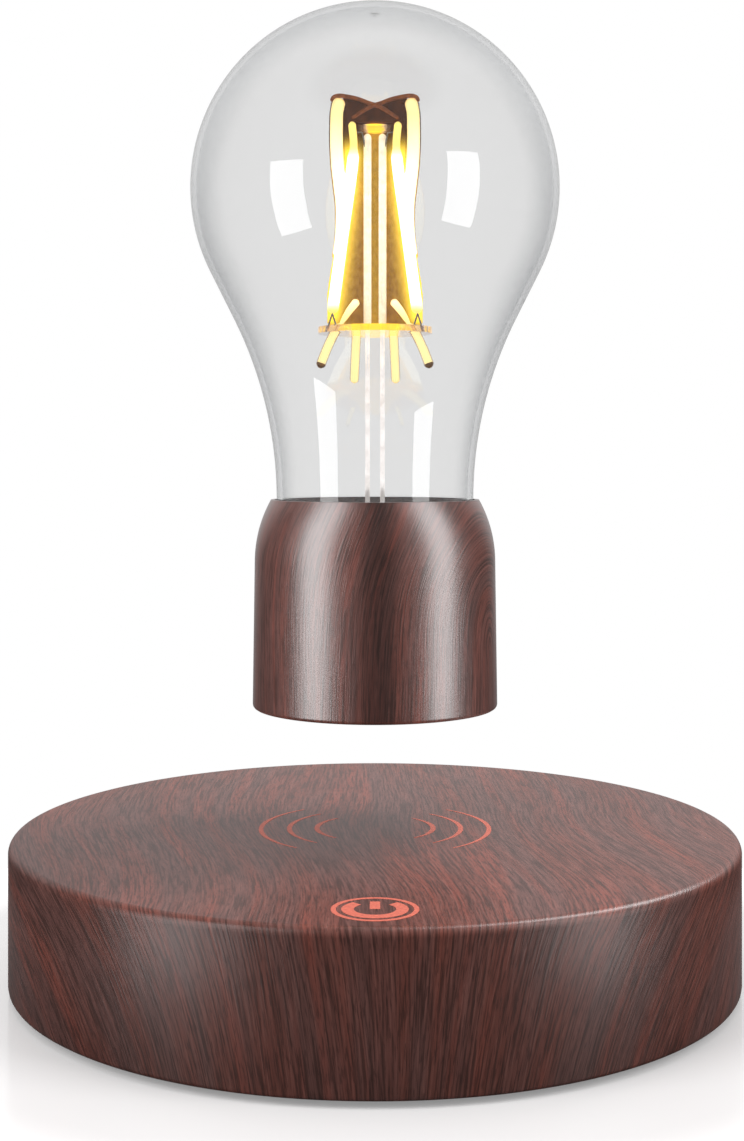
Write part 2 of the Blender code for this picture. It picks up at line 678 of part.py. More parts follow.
def make_power_inlet(parent):
    body = block("dc_jack", JACK_WIDTH, JACK_DEPTH, JACK_BOTTOM, JACK_BOTTOM + JACK_HEIGHT)
    black = material("jack_plastic", (0.015, 0.015, 0.015), 0.45)
    back = JACK_FRONT - JACK_DEPTH
    jack = add_object("dc_jack", body, black, (0, (JACK_FRONT + back) / 2, 0), parent)
    nose_end = BASE_RADIUS - JACK_RECESS
    bore_end = nose_end - JACK_BORE_DEPTH
    along = -jack.location.y
    nose = tube(
        "nose",
        [(0, back + JACK_DEPTH / 2, JACK_AXIS), (0, nose_end, JACK_AXIS)],
        [JACK_NOSE_RADIUS] * 2,
        SMALL_SEGMENTS,
    )
    join(jack, "jack_nose", nose, (0, along, 0))
    bore = tube(
        "bore",
        [(0, bore_end, JACK_AXIS), (0, nose_end + OVERRUN, JACK_AXIS)],
        [JACK_BORE_RADIUS] * 2,
        SMALL_SEGMENTS,
    )
    cut(jack, "jack_bore", bore, (0, along, 0))
    pin_start = bore_end + GAP
    pin = tube(
        "dc_jack_pin",
        [(0, pin_start, JACK_AXIS), (0, pin_start + JACK_PIN_LENGTH, JACK_AXIS)],
        [JACK_PIN_RADIUS] * 2,
        12,
    )
    brass = material("pin_brass", (0.78, 0.6, 0.28), 0.3, 1.0)
    add_object("dc_jack_pin", pin, brass, parent=parent)


# Floating bulb: socket and what it holds


def make_socket(parent):
    corner = (SOCKET_BOTTOM_RADIUS - SOCKET_EDGE_RADIUS, SOCKET_EDGE_RADIUS)
    spread = math.acos(1 - (SOCKET_BODY_RADIUS - SOCKET_RIM_RADIUS) / SHOULDER_RADIUS)
    centre = (SOCKET_BODY_RADIUS - SHOULDER_RADIUS, SOCKET_HEIGHT - SHOULDER_RADIUS * math.sin(spread))
    profile = arc(corner, SOCKET_EDGE_RADIUS, math.radians(-90), 0, 2)
    profile += arc(centre, SHOULDER_RADIUS, 0, spread, 6)
    profile += [
        (NECK_BORE_RADIUS, SOCKET_HEIGHT),
        (NECK_BORE_RADIUS, LEDGE),
        (CAVITY_RADIUS, LEDGE),
        (CAVITY_RADIUS, 0),
    ]
    surface = material("socket_wood_film", (0.085, 0.045, 0.036), 0.34)
    add_object("bulb_socket", turned("bulb_socket", profile), surface, parent=parent)


def make_socket_plate(parent):
    plastic = material("plate_plastic", (0.03, 0.02, 0.018), 0.5)
    plate = disc("socket_base_plate", PLATE_RADIUS, 0, PLATE_THICKNESS)
    add_object("socket_base_plate", plate, plastic, parent=parent)


def make_float_magnet(parent):
    nickel = material("magnet_nickel", (0.6, 0.6, 0.58), 0.2, 1.0)
    magnet = disc("float_magnet", FLOAT_MAGNET_RADIUS, MAGNET_BOTTOM, MAGNET_TOP, MEDIUM_SEGMENTS)
    add_object("float_magnet", magnet, nickel, parent=parent)


def make_magnet_holder(parent):
    inner = FLOAT_MAGNET_RADIUS + GAP
    skirt = inner + HOLDER_WALL
    under = HOLDER_DECK - HOLDER_TOP
    profile = [
        (0, under),
        (inner, under),
        (inner, MAGNET_BOTTOM),
        (skirt, MAGNET_BOTTOM),
        (skirt, under),
        (PLATE_RADIUS, under),
        (PLATE_RADIUS, HOLDER_DECK),
        (0, HOLDER_DECK),
    ]
    white = material("holder_nylon", (0.7, 0.7, 0.68), 0.5)
    cup = turned("magnet_holder", profile, MEDIUM_SEGMENTS)
    holder = add_object("magnet_holder", cup, white, parent=parent)
    circle = FLOAT_MAGNET_RADIUS + HOLDER_POST_OUTSET
    for number, _, place in around(HOLDER_POST_COUNT, circle, math.radians(90)):
        middle = HOLDER_DECK - HOLDER_TOP / 2
        post = disc("post", HOLDER_POST_RADIUS, middle, HOLDER_DECK + HOLDER_POST_HEIGHT, SMALL_SEGMENTS)
        join(holder, f"holder_post_{number}", post, place)
    bore = skirt + GAP
    coil_top = MAGNET_BOTTOM + RECEIVER_HEIGHT
    coil = ring("receiver_coil", bore, PLATE_RADIUS, MAGNET_BOTTOM, coil_top, MEDIUM_SEGMENTS)
    copper = material("receiver_copper", (0.72, 0.28, 0.12), 0.35, 1.0)
    add_object("receiver_coil", coil, copper, parent=parent)


def make_rectifier(parent):
    green = material("rectifier_green", (0.02, 0.12, 0.05), 0.45)
    radius = CAVITY_RADIUS - RECTIFIER_INSET
    board = disc("rectifier_pcb", radius, RECTIFIER_BOTTOM, RECTIFIER_TOP, MEDIUM_SEGMENTS)
    add_object("rectifier_pcb", board, green, parent=parent)
    seat = RECTIFIER_TOP + GAP
    chip = block("rectifier_chip", BRIDGE_SIDE, BRIDGE_SIDE, seat, seat + BRIDGE_HEIGHT)
    black = material("rectifier_black", (0.02, 0.02, 0.022), 0.4)
    add_object("rectifier_chip", chip, black, (*BRIDGE_PLACE, 0), parent)
    top = PLUG_FLANGE_BOTTOM - SMOOTHING_HEADROOM
    can = disc("smoothing_capacitor", SMOOTHING_RADIUS, seat, top, SMALL_SEGMENTS)
    silver = material("smoothing_can", (0.6, 0.6, 0.62), 0.35, 1.0)
    add_object("smoothing_capacitor", can, silver, (*SMOOTHING_PLACE, 0), parent)


def make_neck_plug(parent):
    glass_bore = NECK_RADIUS - GLASS_THICKNESS
    shoulder = GLASS_BOTTOM - GAP
    profile = [
        (0, PLUG_FLANGE_BOTTOM),
        (PLATE_RADIUS, PLUG_FLANGE_BOTTOM),
        (PLATE_RADIUS, PLUG_FLANGE_TOP),
        (NECK_BORE_RADIUS - GAP, PLUG_FLANGE_TOP),
        (NECK_BORE_RADIUS - GAP, shoulder),
        (glass_bore - GAP, shoulder),
        (glass_bore - GAP, shoulder + PLUG_BOSS_HEIGHT),
        (0, shoulder + PLUG_BOSS_HEIGHT),
    ]
    white = material("plug_ceramic", (0.82, 0.81, 0.78), 0.4)
    plug = add_object("neck_plug", turned("neck_plug", profile, MEDIUM_SEGMENTS), white, parent=parent)
    bottom = PLUG_FLANGE_BOTTOM - OVERRUN
    top = shoulder + PLUG_BOSS_HEIGHT + OVERRUN
    for name, place in rod_places():
        cut(plug, f"plug_hole_{name}", disc("hole", ROD_RADIUS + GAP, bottom, top, SMALL_SEGMENTS), place)


# Floating bulb: glass, rods and discs


def glass_outline(inset):
    """The bulb's outline moved inwards: neck, hollow arc, straight cone, sphere, from bottom to top."""
    arc_radius = NECK_ARC_RADIUS + inset
    sphere_radius = GLASS_RADIUS - inset
    neck_centre = (NECK_RADIUS + NECK_ARC_RADIUS, SOCKET_HEIGHT)
    neck = arc(neck_centre, arc_radius, math.pi, math.pi - GLASS_CONE_ANGLE, NECK_ARC_STEPS)
    sphere = arc((0, SPHERE_CENTRE), sphere_radius, -GLASS_CONE_ANGLE, math.radians(90), SPHERE_STEPS)
    sphere[-1] = (0, sphere[-1][1])
    return [(NECK_RADIUS - inset, GLASS_BOTTOM)] + neck + sphere


def make_glass(parent):
    profile = list(reversed(glass_outline(0))) + glass_outline(GLASS_THICKNESS)
    clear = material("clear_glass", (0.92, 0.94, 0.94), 0.03)
    clear.node_tree.nodes["Principled BSDF"].inputs["Transmission Weight"].default_value = 1.0
    add_object("glass_envelope", turned("glass_envelope", profile), clear, parent=parent)


def rod_places():
    half = ROD_SPACING / 2
    return (("left", (-half, -ROD_OFFSET, 0)), ("right", (half, -ROD_OFFSET, 0)))


def make_rods(parent):
    silver = material("rod_nickel", (0.75, 0.74, 0.7), 0.25, 1.0)
    bottom = PLUG_FLANGE_BOTTOM - ROD_TAIL
    for name, place in rod_places():
        rod = disc(f"stem_rod_{name}", ROD_RADIUS, bottom, UPPER_DISC_HEIGHT - GAP, SMALL_SEGMENTS)
        add_object(f"stem_rod_{name}", rod, silver, place, parent)


def make_discs(parent):
    clear = material("disc_acrylic", (0.85, 0.8, 0.76), 0.1)
    top = LOWER_DISC_HEIGHT + LOWER_DISC_THICKNESS
    plate = disc("lower_disc", LOWER_DISC_RADIUS, LOWER_DISC_HEIGHT, top)
    lower = add_object("lower_disc", plate, clear, parent=parent)
    low = LOWER_DISC_HEIGHT - OVERRUN
    high = top + OVERRUN
    for name, place in rod_places():
        cut(lower, f"rod_hole_{name}", disc("hole", ROD_RADIUS + GAP, low, high, SMALL_SEGMENTS), place)
    for number, points in legs():
        leg = tube("leg_hole", points, [LEG_RADIUS + GAP] * len(points))
        cut(lower, f"leg_hole_{number}", leg)
    upper_top = UPPER_DISC_HEIGHT + UPPER_DISC_THICKNESS
    gold = material("upper_disc_acrylic", (0.85, 0.78, 0.6), 0.1)
    upper = disc("upper_disc", UPPER_DISC_RADIUS, UPPER_DISC_HEIGHT, upper_top, MEDIUM_SEGMENTS)
    add_object("upper_disc", upper, gold, parent=parent)


# Floating bulb: light guide and filaments


def fin_angles():
    """Directions of the four fins, counter-clockwise from the right rear one."""
    return (FIN_ANGLE, math.pi - FIN_ANGLE, math.pi + FIN_ANGLE, math.tau - FIN_ANGLE)


def valley_side(number):
    """The sign of the turn from a numbered fin to the nearer of the front and rear valleys."""
    return 1 if number % 2 else -1


def legs():
    """The middle line of each leg: a bend from its fin, out and down to its tip."""
    front = (FRONT_LEG_START_REACH, FRONT_LEG_START_OFFSET, FRONT_LEG_TURN, FRONT_LEG_DROP)
    rear = (REAR_LEG_START_REACH, REAR_LEG_START_OFFSET, REAR_LEG_TURN, REAR_LEG_DROP)
    for number, angle in enumerate(fin_angles(), 1):
        reach, offset, turn, drop = rear if math.sin(angle) > 0 else front
        side = valley_side(number)
        tip_angle = angle + side * turn
        start = beside_fin(angle, side, reach, offset, GUIDE_BOTTOM + LEG_START_RISE)
        tip = beside_fin(tip_angle, side, LEG_TIP_RADIUS, 0, LOWER_DISC_HEIGHT - drop)
        bend = start.lerp(tip, LEG_BEND_SHARES[0])
        bend.z = start.z + (tip.z - start.z) * LEG_BEND_SHARES[1]
        points = []
        for i in range(LEG_STEPS + 1):
            share = i / LEG_STEPS
            points.append(start.lerp(bend, share).lerp(bend.lerp(tip, share), share))
        yield number, points


def guide_section(radius, rib, roof):
    """The guide's outline at one height. roof goes from 0, four thin fins, to 1, a filled star."""
    angles = fin_angles()
    fin_span = math.pi - math.asin(FIN_HALF_THICKNESS / rib)
    span = fin_span + (ROOF_RIB_SPAN - fin_span) * roof
    points = []
    for i, angle in enumerate(angles):
        middle = Vector((radius * math.cos(angle), radius * math.sin(angle)))
        for k in range(RIB_STEPS + 1):
            turn = angle - span + 2 * span * k / RIB_STEPS
            points.append(middle + Vector((rib * math.cos(turn), rib * math.sin(turn))))
        half = ((angles[(i + 1) % len(angles)] - angle) % math.tau) / 2
        fin_valley = FIN_HALF_THICKNESS / math.sin(half)
        roof_valley = radius * math.cos(half) * ROOF_WAIST_SHARE
        valley = fin_valley + (roof_valley - fin_valley) * roof
        points.append(Vector((valley * math.cos(angle + half), valley * math.sin(angle + half))))
    return points


def make_light_guide(parent):
    rings = []
    fin_height = ROOF_BOTTOM - GUIDE_BOTTOM
    low, high = RIB_RISE_SHARES
    for height_share, radius_share in GUIDE_SHARES:
        rise = min(max((height_share - low) / (high - low), 0), 1)
        rib = FIN_HALF_THICKNESS + (RIB_RADIUS - FIN_HALF_THICKNESS) * rise
        section = guide_section(GUIDE_RADIUS * radius_share, rib, 0)
        rings.append([(p.x, p.y, GUIDE_BOTTOM + fin_height * height_share) for p in section])
    for height_share, radius_share in ROOF_SHARES:
        radius = GUIDE_RADIUS * radius_share
        roof = 0 if height_share == ROOF_SHARES[0][0] else 1
        height = ROOF_BOTTOM + ROOF_THICKNESS * height_share
        dip = ROOF_DIP * height_share**2
        section = guide_section(radius, RIB_RADIUS, roof)
        rings.append([(p.x, p.y, height - dip * max(1 - p.length / radius, 0)) for p in section])
    rings.append([(0, 0, ROOF_BOTTOM + ROOF_THICKNESS - ROOF_DIP)])
    amber = material("guide_amber", (0.55, 0.24, 0.05), 0.15)
    guide = add_object("light_guide", stacked("light_guide", rings), amber, parent=parent)
    pocket_bottom = UPPER_DISC_HEIGHT - POCKET_DROP
    pocket = disc("pocket", UPPER_DISC_RADIUS + GAP, pocket_bottom, ROOF_BOTTOM, MEDIUM_SEGMENTS)
    cut(guide, "disc_pocket", pocket)
    for number, points in legs():
        join(guide, f"leg_{number}", tube("leg", points, [LEG_RADIUS] * len(points)))


def beside_fin(angle, side, reach, offset, height):
    """A point at a reach along a fin and an offset from its middle plane."""
    along = Vector((math.cos(angle), math.sin(angle), 0))
    across = Vector((-side * along.y, side * along.x, 0))
    point = along * reach + across * offset
    point.z = height
    return point


def make_filaments(parent):
    white = material("filament_white", (0.95, 0.9, 0.7), 0.4)
    low_height = LOWER_DISC_HEIGHT + FILAMENT_LOW_RISE
    high_height = UPPER_DISC_HEIGHT - FILAMENT_HIGH_DROP
    for number, angle in enumerate(fin_angles(), 1):
        side = valley_side(number)
        low = beside_fin(angle, side, FILAMENT_LOW_REACH, FILAMENT_OFFSET, low_height)
        high = beside_fin(angle, side, FILAMENT_HIGH_REACH, FILAMENT_OFFSET, high_height)
        foot = low.copy()
        foot.z = GUIDE_BOTTOM
        knee_height = UPPER_DISC_HEIGHT - LEAD_KNEE_DROP
        knee = beside_fin(angle, side, LEAD_KNEE_REACH, LEAD_KNEE_OFFSET, knee_height)
        end = beside_fin(angle, side, LEAD_END_REACH, LEAD_END_OFFSET, UPPER_DISC_HEIGHT - GAP)
        taper = (high - low).normalized() * FILAMENT_TIP
        points = [foot, low - taper, low, high, high + taper, knee, end]
        radii = [LEAD_RADIUS] * 2 + [FILAMENT_RADIUS] * 2 + [LEAD_RADIUS] * 3
        add_object(f"filament_{number}", tube("filament", points, radii), white, parent=parent)


# Assembly

clear_scene()
HELPER = material("helper", (0.5, 0.5, 0.5), 0.5)

base = add_empty("base_frame", (0, 0, 0))
make_base_shell(base)
make_bottom_cover(base)
make_feet(base)
make_cover_screws(base)
make_control_board(base)
make_board_parts(base)
make_magnet_system(base)
make_coils(base)
make_sensors(base)
make_transmitter_coil(base)
make_touch_switch(base)
make_power_inlet(base)

lift = add_empty("bulb_lift_axis", (0, 0, SOCKET_BOTTOM))
make_float_magnet(lift)

bulb = add_empty("bulb_spin_axis", (0, 0, 0), lift)
make_socket(bulb)
make_socket_plate(bulb)
make_magnet_holder(bulb)
make_rectifier(bulb)
make_neck_plug(bulb)
make_glass(bulb)
make_rods(bulb)
make_discs(bulb)
make_light_guide(bulb)
make_filaments(bulb)
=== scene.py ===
# %% [markdown]
# # A levitating lamp
# The lamp is a round base and a glass bulb that floats above it on magnets.
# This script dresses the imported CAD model, so it starts by loading it as a fixed frame.
# Each piece below is measured from that frame, made in millimetres, and rides on one of its bodies.

import math

import bmesh
import bpy
from mathutils import Matrix, Vector


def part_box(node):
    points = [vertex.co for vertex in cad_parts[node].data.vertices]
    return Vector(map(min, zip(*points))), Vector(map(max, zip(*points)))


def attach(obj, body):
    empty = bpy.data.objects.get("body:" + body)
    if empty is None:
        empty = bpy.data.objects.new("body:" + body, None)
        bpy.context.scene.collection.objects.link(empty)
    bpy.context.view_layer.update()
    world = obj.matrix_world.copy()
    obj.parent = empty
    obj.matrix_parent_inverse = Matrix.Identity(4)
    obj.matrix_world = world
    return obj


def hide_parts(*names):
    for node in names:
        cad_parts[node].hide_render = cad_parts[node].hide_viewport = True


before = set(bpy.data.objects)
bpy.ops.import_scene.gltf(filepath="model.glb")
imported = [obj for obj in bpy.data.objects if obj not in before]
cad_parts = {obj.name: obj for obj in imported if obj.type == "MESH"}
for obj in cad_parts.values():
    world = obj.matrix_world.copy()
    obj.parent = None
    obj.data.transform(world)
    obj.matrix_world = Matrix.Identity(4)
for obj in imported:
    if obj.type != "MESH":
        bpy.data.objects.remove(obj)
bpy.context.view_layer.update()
MM = 0.001

# %% [markdown]
# ## Tools for making pieces
# A turned part, such as the base or the bulb, starts as a half outline in the XZ plane.
# Its arcs are drawn by spinning one vertex about the arc's centre, and the outline is spun about Z.
# A rod or wire is a curve with a round bevel, turned into a mesh, because its path is what matters.


# %% Helpers for outlines and turned parts
def mm(*values):
    """A vector from lengths in millimetres."""
    return Vector(values) * MM


def polar(reach, angle, height):
    return Vector((reach * math.cos(angle), reach * math.sin(angle), height))


def spread(node):
    """Radius, bottom and top of a CAD node that is round about Z, in metres."""
    low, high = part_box(node)
    return (high.x - low.x) / 2, low.z, high.z


def start_outline(radius, height):
    bm = bmesh.new()
    return bm, bm.verts.new((radius, 0, height))


def line_to(bm, vertex, radius, height):
    """Draws a straight line of the outline and returns its end."""
    end = bmesh.ops.extrude_vert_indiv(bm, verts=[vertex])["verts"][0]
    end.co = (radius, 0, height)
    return end


def arc_to(bm, vertex, centre, angle, steps):
    """Draws an arc of the outline about (radius, height) and returns its end."""
    place = (centre[0], 0, centre[1])
    made = bmesh.ops.spin(
        bm, geom=[vertex], cent=place, axis=(0, 1, 0), angle=angle, steps=steps, use_merge=False
    )
    return made["geom_last"][0]


def round_corner(bm, vertex, size, segments):
    bmesh.ops.bevel(
        bm, geom=[vertex], offset=size, offset_type="OFFSET", segments=segments, profile=0.5,
        affect="VERTICES", material=-1,
    )


def close_skin(bm):
    """Merges doubled vertices and turns every face outwards."""
    bmesh.ops.remove_doubles(bm, verts=bm.verts, dist=1e-7)
    bmesh.ops.recalc_face_normals(bm, faces=bm.faces)


def spin_round(bm, steps):
    """Spins an outline about Z into a skin."""
    outline = bm.verts[:] + bm.edges[:]
    bmesh.ops.spin(
        bm, geom=outline, cent=(0, 0, 0), axis=(0, 0, 1), angle=math.tau, steps=steps, use_merge=True
    )
    close_skin(bm)


def shade(mesh, sharp):
    mesh.shade_smooth()
    mesh.set_sharp_from_angle(angle=math.radians(sharp))


def to_object(name, bm, surfaces=()):
    """Makes a named object with its materials from a bmesh."""
    mesh = bpy.data.meshes.new(name)
    bm.to_mesh(mesh)
    bm.free()
    for surface in surfaces:
        mesh.materials.append(surface)
    made = bpy.data.objects.new(name, mesh)
    bpy.context.scene.collection.objects.link(made)
    return made


def finish_piece(name, bm, body, surfaces, sharp=35):
    """Makes a named piece from a bmesh, smoothly shaded, that rides on a body."""
    piece = to_object(name, bm, surfaces)
    shade(piece.data, sharp)
    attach(piece, body)
    print(name, "faces", len(piece.data.polygons))
    return piece


def shown_mesh(piece):
    """A mesh of what a piece shows, with its curve's bevel or its modifiers applied."""
    bpy.context.view_layer.update()
    shown = piece.evaluated_get(bpy.context.evaluated_depsgraph_get())
    return bpy.data.meshes.new_from_object(shown)


# %% Helpers for rods
def rod_mesh(points, radii, sides):
    """A round rod along points in metres, with a radius at each, as a mesh of its own."""
    curve = bpy.data.curves.new("rod", "CURVE")
    curve.dimensions = "3D"
    curve.bevel_depth = 1
    curve.bevel_resolution = sides // 4 - 1
    curve.use_fill_caps = True
    line = curve.splines.new("POLY")
    line.points.add(len(points) - 1)
    for point, place, radius in zip(line.points, points, radii):
        point.co = (*place, 1)
        point.radius = radius
    holder = bpy.data.objects.new("rod", curve)
    bpy.context.scene.collection.objects.link(holder)
    mesh = shown_mesh(holder)
    bpy.data.objects.remove(holder)
    bpy.data.curves.remove(curve)
    return mesh


# How far in, and how wide, in radii.
ROUND_END = ((0.0, 0.30), (0.12, 0.48), (0.35, 0.76), (0.65, 0.94), (1.0, 1.0))


def rounded_end(tip, inside, radius):
    """Points and radii of a rod's rounded end, from its tip inwards."""
    step = (inside - tip).normalized() * radius
    return [(tip + step * depth, radius * width) for depth, width in ROUND_END]


def add_rod(bm, points, radii, slot=0, sides=20):
    """Adds a rod with rounded ends to a bmesh, and gives its faces a material slot."""
    # Points that lie inside a rounded end are left out, or the rod would fold back on itself.
    inner = [
        (point, radius) for point, radius in zip(points[1:-1], radii[1:-1])
        if (point - points[0]).length > 1.1 * radii[0] and (point - points[-1]).length > 1.1 * radii[-1]
    ]
    end = rounded_end(points[-1], points[-2], radii[-1])
    run = rounded_end(points[0], points[1], radii[0]) + inner + end[::-1]
    mesh = rod_mesh([point for point, _ in run], [radius for _, radius in run], sides)
    before = len(bm.faces)
    bm.from_mesh(mesh)
    bpy.data.meshes.remove(mesh)
    bm.faces.ensure_lookup_table()
    for face in bm.faces[before:]:
        face.material_index = slot


def smooth_path(points, steps):
    """A path that runs smoothly through points, with steps between each two."""
    points = [2 * points[0] - points[1]] + list(points) + [2 * points[-1] - points[-2]]
    path = []
    for a, b, c, d in zip(points, points[1:], points[2:], points[3:]):
        for i in range(steps):
            t = i / steps
            bend = (2 * a - 5 * b + 4 * c - d) * t**2 + (3 * b - a - 3 * c + d) * t**3
            path.append(0.5 * (2 * b + (c - a) * t + bend))
    return path + [points[-2]]


# %% [markdown]
# ## Tools for materials
# Every finish is a small node tree around one Principled shader.
# One function adds a node, sets it and links it, so that a tree reads from top to bottom.
# Colours are written as sRGB hex values, because that is how a paint or film chart gives them.


# %% Helpers for materials
def linear(code):
    """A linear colour from an sRGB hex value."""
    parts = [int(code[i : i + 2], 16) / 255 for i in (1, 3, 5)]
    return (*[c / 12.92 if c <= 0.04045 else ((c + 0.055) / 1.055) ** 2.4 for c in parts], 1.0)


# With this setting a Map Range eases in and out.
SMOOTH = {"interpolation_type": "SMOOTHSTEP"}


def add(tree, kind, inputs=None, **settings):
    """Adds a shader node of a kind, such as Math for ShaderNodeMath, with its settings and links.
    An input is a value, a socket, or a node, which stands for its first live output."""
    made = tree.nodes.new("ShaderNode" + kind)
    for name, value in settings.items():
        setattr(made, name, value)
    for key, value in (inputs or {}).items():
        if isinstance(value, bpy.types.Node):
            value = next(socket for socket in value.outputs if socket.enabled)
        if isinstance(value, bpy.types.NodeSocket):
            tree.links.new(value, made.inputs[key])
        else:
            made.inputs[key].default_value = value
    return made


def start_material(name):
    """A new material without nodes, and its tree."""
    made = bpy.data.materials.new(name)
    made.use_nodes = True
    made.node_tree.nodes.clear()
    return made, made.node_tree


def close_material(made, tree, inputs):
    """Ends a material's tree with its Principled shader."""
    surface = add(tree, "BsdfPrincipled", inputs)
    add(tree, "OutputMaterial", {"Surface": surface})
    return made


def clouds(name, first, second, size, shader, bump=0.0):
    """A finish whose colour drifts between two tones over a real size in millimetres."""
    made, tree = start_material(name)
    place = add(tree, "TexCoord").outputs["Object"]
    fine = add(tree, "Mapping", {"Vector": place, "Scale": [1 / (size * MM)] * 3})
    inputs = {"Vector": fine, "Scale": 1.0, "Detail": 3.0, "Roughness": 0.6}
    pattern = add(tree, "TexNoise", inputs)
    share = add(tree, "MapRange", {"Value": pattern, "From Min": 0.35, "From Max": 0.65})
    inks = {0: share, 6: linear(first), 7: linear(second)}
    colour = add(tree, "Mix", inks, data_type="RGBA")
    inputs = {"Base Color": colour, **shader}
    if bump:
        relief = {"Strength": 0.5, "Distance": bump * MM, "Height": pattern}
        inputs["Normal"] = add(tree, "Bump", relief)
    if "Emission Strength" in shader:
        inputs["Emission Color"] = colour
    return close_material(made, tree, inputs)


# %% [markdown]
# ## Wood-grain film
# The base and the socket are moulded plastic with a printed wood-grain film under a satin varnish.
# The base's film is draped from above. Its grain runs from back to front across the top, and on down
# the side, so that it stands upright in front and leans inwards to both sides.
# The socket's grain runs up, and bends into arches at one side, as in a board cut near the heart.
# Both use one pattern, sized in millimetres, with its fibres along the second axis.

# %% Film pattern
GRAIN = {
    # layer: size across and along the fibres, detail, roughness
    "patches": (8.0, 80.0, 2.0, 0.5),
    "veins": (4.0, 70.0, 1.0, 0.5),
    "streaks": (1.2, 40.0, 3.0, 0.6),
    "fibres": (0.42, 11.0, 2.0, 0.6),
    "pores": (0.30, 3.0, 2.0, 0.6),
}
INKS = (
    # layer, where its ink starts and is full, its strength, its colour
    ("patches", 0.40, 0.60, 0.68, "#50261D"),
    ("veins", 0.52, 0.68, 0.40, "#652E23"),
    ("streaks", 0.48, 0.70, 0.50, "#2C1814"),
    ("streaks", 0.44, 0.28, 0.22, "#5C3A33"),
    ("fibres", 0.49, 0.61, 0.72, "#28140F"),
    ("fibres", 0.46, 0.34, 0.30, "#644039"),
    ("pores", 0.52, 0.64, 0.55, "#24110D"),
)
WAVE_WIDTH, WAVE_LENGTH = 45, 100
WAVE_BEND = 13


def wood_film(name, lay_out, shader):
    """A printed wood film. lay_out adds the nodes that give the film's place and the painted light and
    shade of its print.
    """
    made, tree = start_material(name)
    flat, painted_light = lay_out(tree)
    # Slow waves bend the grain sideways, by up to half of WAVE_BEND in millimetres.
    scale = (1 / WAVE_WIDTH, 1 / WAVE_LENGTH, 1 / WAVE_WIDTH)
    slow = add(tree, "Mapping", {"Vector": flat, "Scale": scale})
    wave = add(tree, "TexNoise", {"Vector": slow, "Scale": 1.0, "Detail": 1.0}).outputs["Color"]
    level = add(tree, "VectorMath", {0: wave, 1: (0.5, 0.5, 0.5)}, operation="SUBTRACT")
    bend = add(tree, "VectorMath", {0: level, 1: (WAVE_BEND, 0, 0)}, operation="MULTIPLY")
    grain = add(tree, "VectorMath", {0: flat, 1: bend}, operation="ADD")
    layers = {}
    for layer, (across, along, detail, roughness) in GRAIN.items():
        scale = (1 / across, 1 / along, 1 / across)
        size = add(tree, "Mapping", {"Vector": grain, "Scale": scale})
        inputs = {"Vector": size, "Scale": 1.0, "Detail": detail, "Roughness": roughness}
        layers[layer] = add(tree, "TexNoise", inputs)
    colour = linear("#462B27")
    for layer, start, full, strength, ink in INKS:
        inputs = {"Value": layers[layer], "From Min": start, "From Max": full, "To Max": strength}
        share = add(tree, "MapRange", inputs, **SMOOTH)
        colour = add(tree, "Mix", {0: share, 6: colour, 7: linear(ink)}, data_type="RGBA")
    # Painted light and shade scale the print: paler where the film is lit more, darker where it is lit
    # less.
    colour = add(tree, "VectorMath", {0: colour, "Scale": painted_light}, operation="SCALE")
    relief = add(tree, "Bump", {"Strength": 0.5, "Distance": 0.0001, "Height": layers["fibres"]})
    return close_material(made, tree, {"Base Color": colour, "Normal": relief, **shader})


# %% Film of the base
BASE_RADIUS, BASE_BOTTOM, BASE_TOP = spread("base_shell")
# Painted light and shade: the top's print is paler and the side's darker, standing in for the top being
# lit more than the side.
TOP_PAINTED_LIGHT, SIDE_PAINTED_SHADE = 1.45, 0.95
FRONT_DRIFT = -10


def draped(tree):
    """The top seen from above, and the side folded out around the rim. Within the rim's rounding the
    print turns from the side's painted shade to the painted light of the top."""
    place = add(tree, "TexCoord").outputs["Object"]
    sized = add(tree, "Mapping", {"Vector": place, "Scale": (1 / MM, 1 / MM, 1 / MM)})
    x, y, z = add(tree, "SeparateXYZ", {0: sized}).outputs
    level = add(tree, "CombineXYZ", {0: x, 1: y})
    radius = add(tree, "VectorMath", {0: level}, operation="LENGTH")
    wide = add(tree, "Math", {0: radius, 1: 1.0}, operation="MAXIMUM")
    drop = add(tree, "Math", {0: BASE_TOP / MM, 1: z}, operation="SUBTRACT")
    share = add(tree, "Math", {0: drop, 1: wide}, operation="DIVIDE")
    grown = add(tree, "Math", {0: share, 1: 1.0}, operation="ADD")
    painted_light = {"Value": drop, "From Min": 1.4, "From Max": 0.2, "To Min": SIDE_PAINTED_SHADE, "To Max": TOP_PAINTED_LIGHT}
    painted_tone = add(tree, "MapRange", painted_light)
    flat = add(tree, "VectorMath", {0: level, "Scale": grown}, operation="SCALE")
    # From just behind the middle to the front the grain drifts to the right.
    fall = {"Value": y, "From Min": 12.0, "From Max": -50.0, "To Max": FRONT_DRIFT}
    drift = add(tree, "MapRange", fall, **SMOOTH)
    shift = add(tree, "CombineXYZ", {0: drift})
    return add(tree, "VectorMath", {0: flat, 1: shift}, operation="ADD"), painted_tone


base_film = wood_film("film_base_wood_grain_satin", draped, {"Roughness": 0.37, "IOR": 1.42})
print("base radius", round(BASE_RADIUS / MM, 2), "top", round(BASE_TOP / MM, 2))


# %% Film of the socket
SOCKET_RADIUS, SOCKET_BOTTOM, SOCKET_TOP = spread("bulb_socket")
ARCH_TURN, ARCH_RISE = 25, 22
SOCKET_FINENESS = 1.6
# Painted shade in front and painted light to both sides of the socket's print.
FRONT_SHADE_TONE, SIDE_LIGHT_TONE = 0.62, 1.6


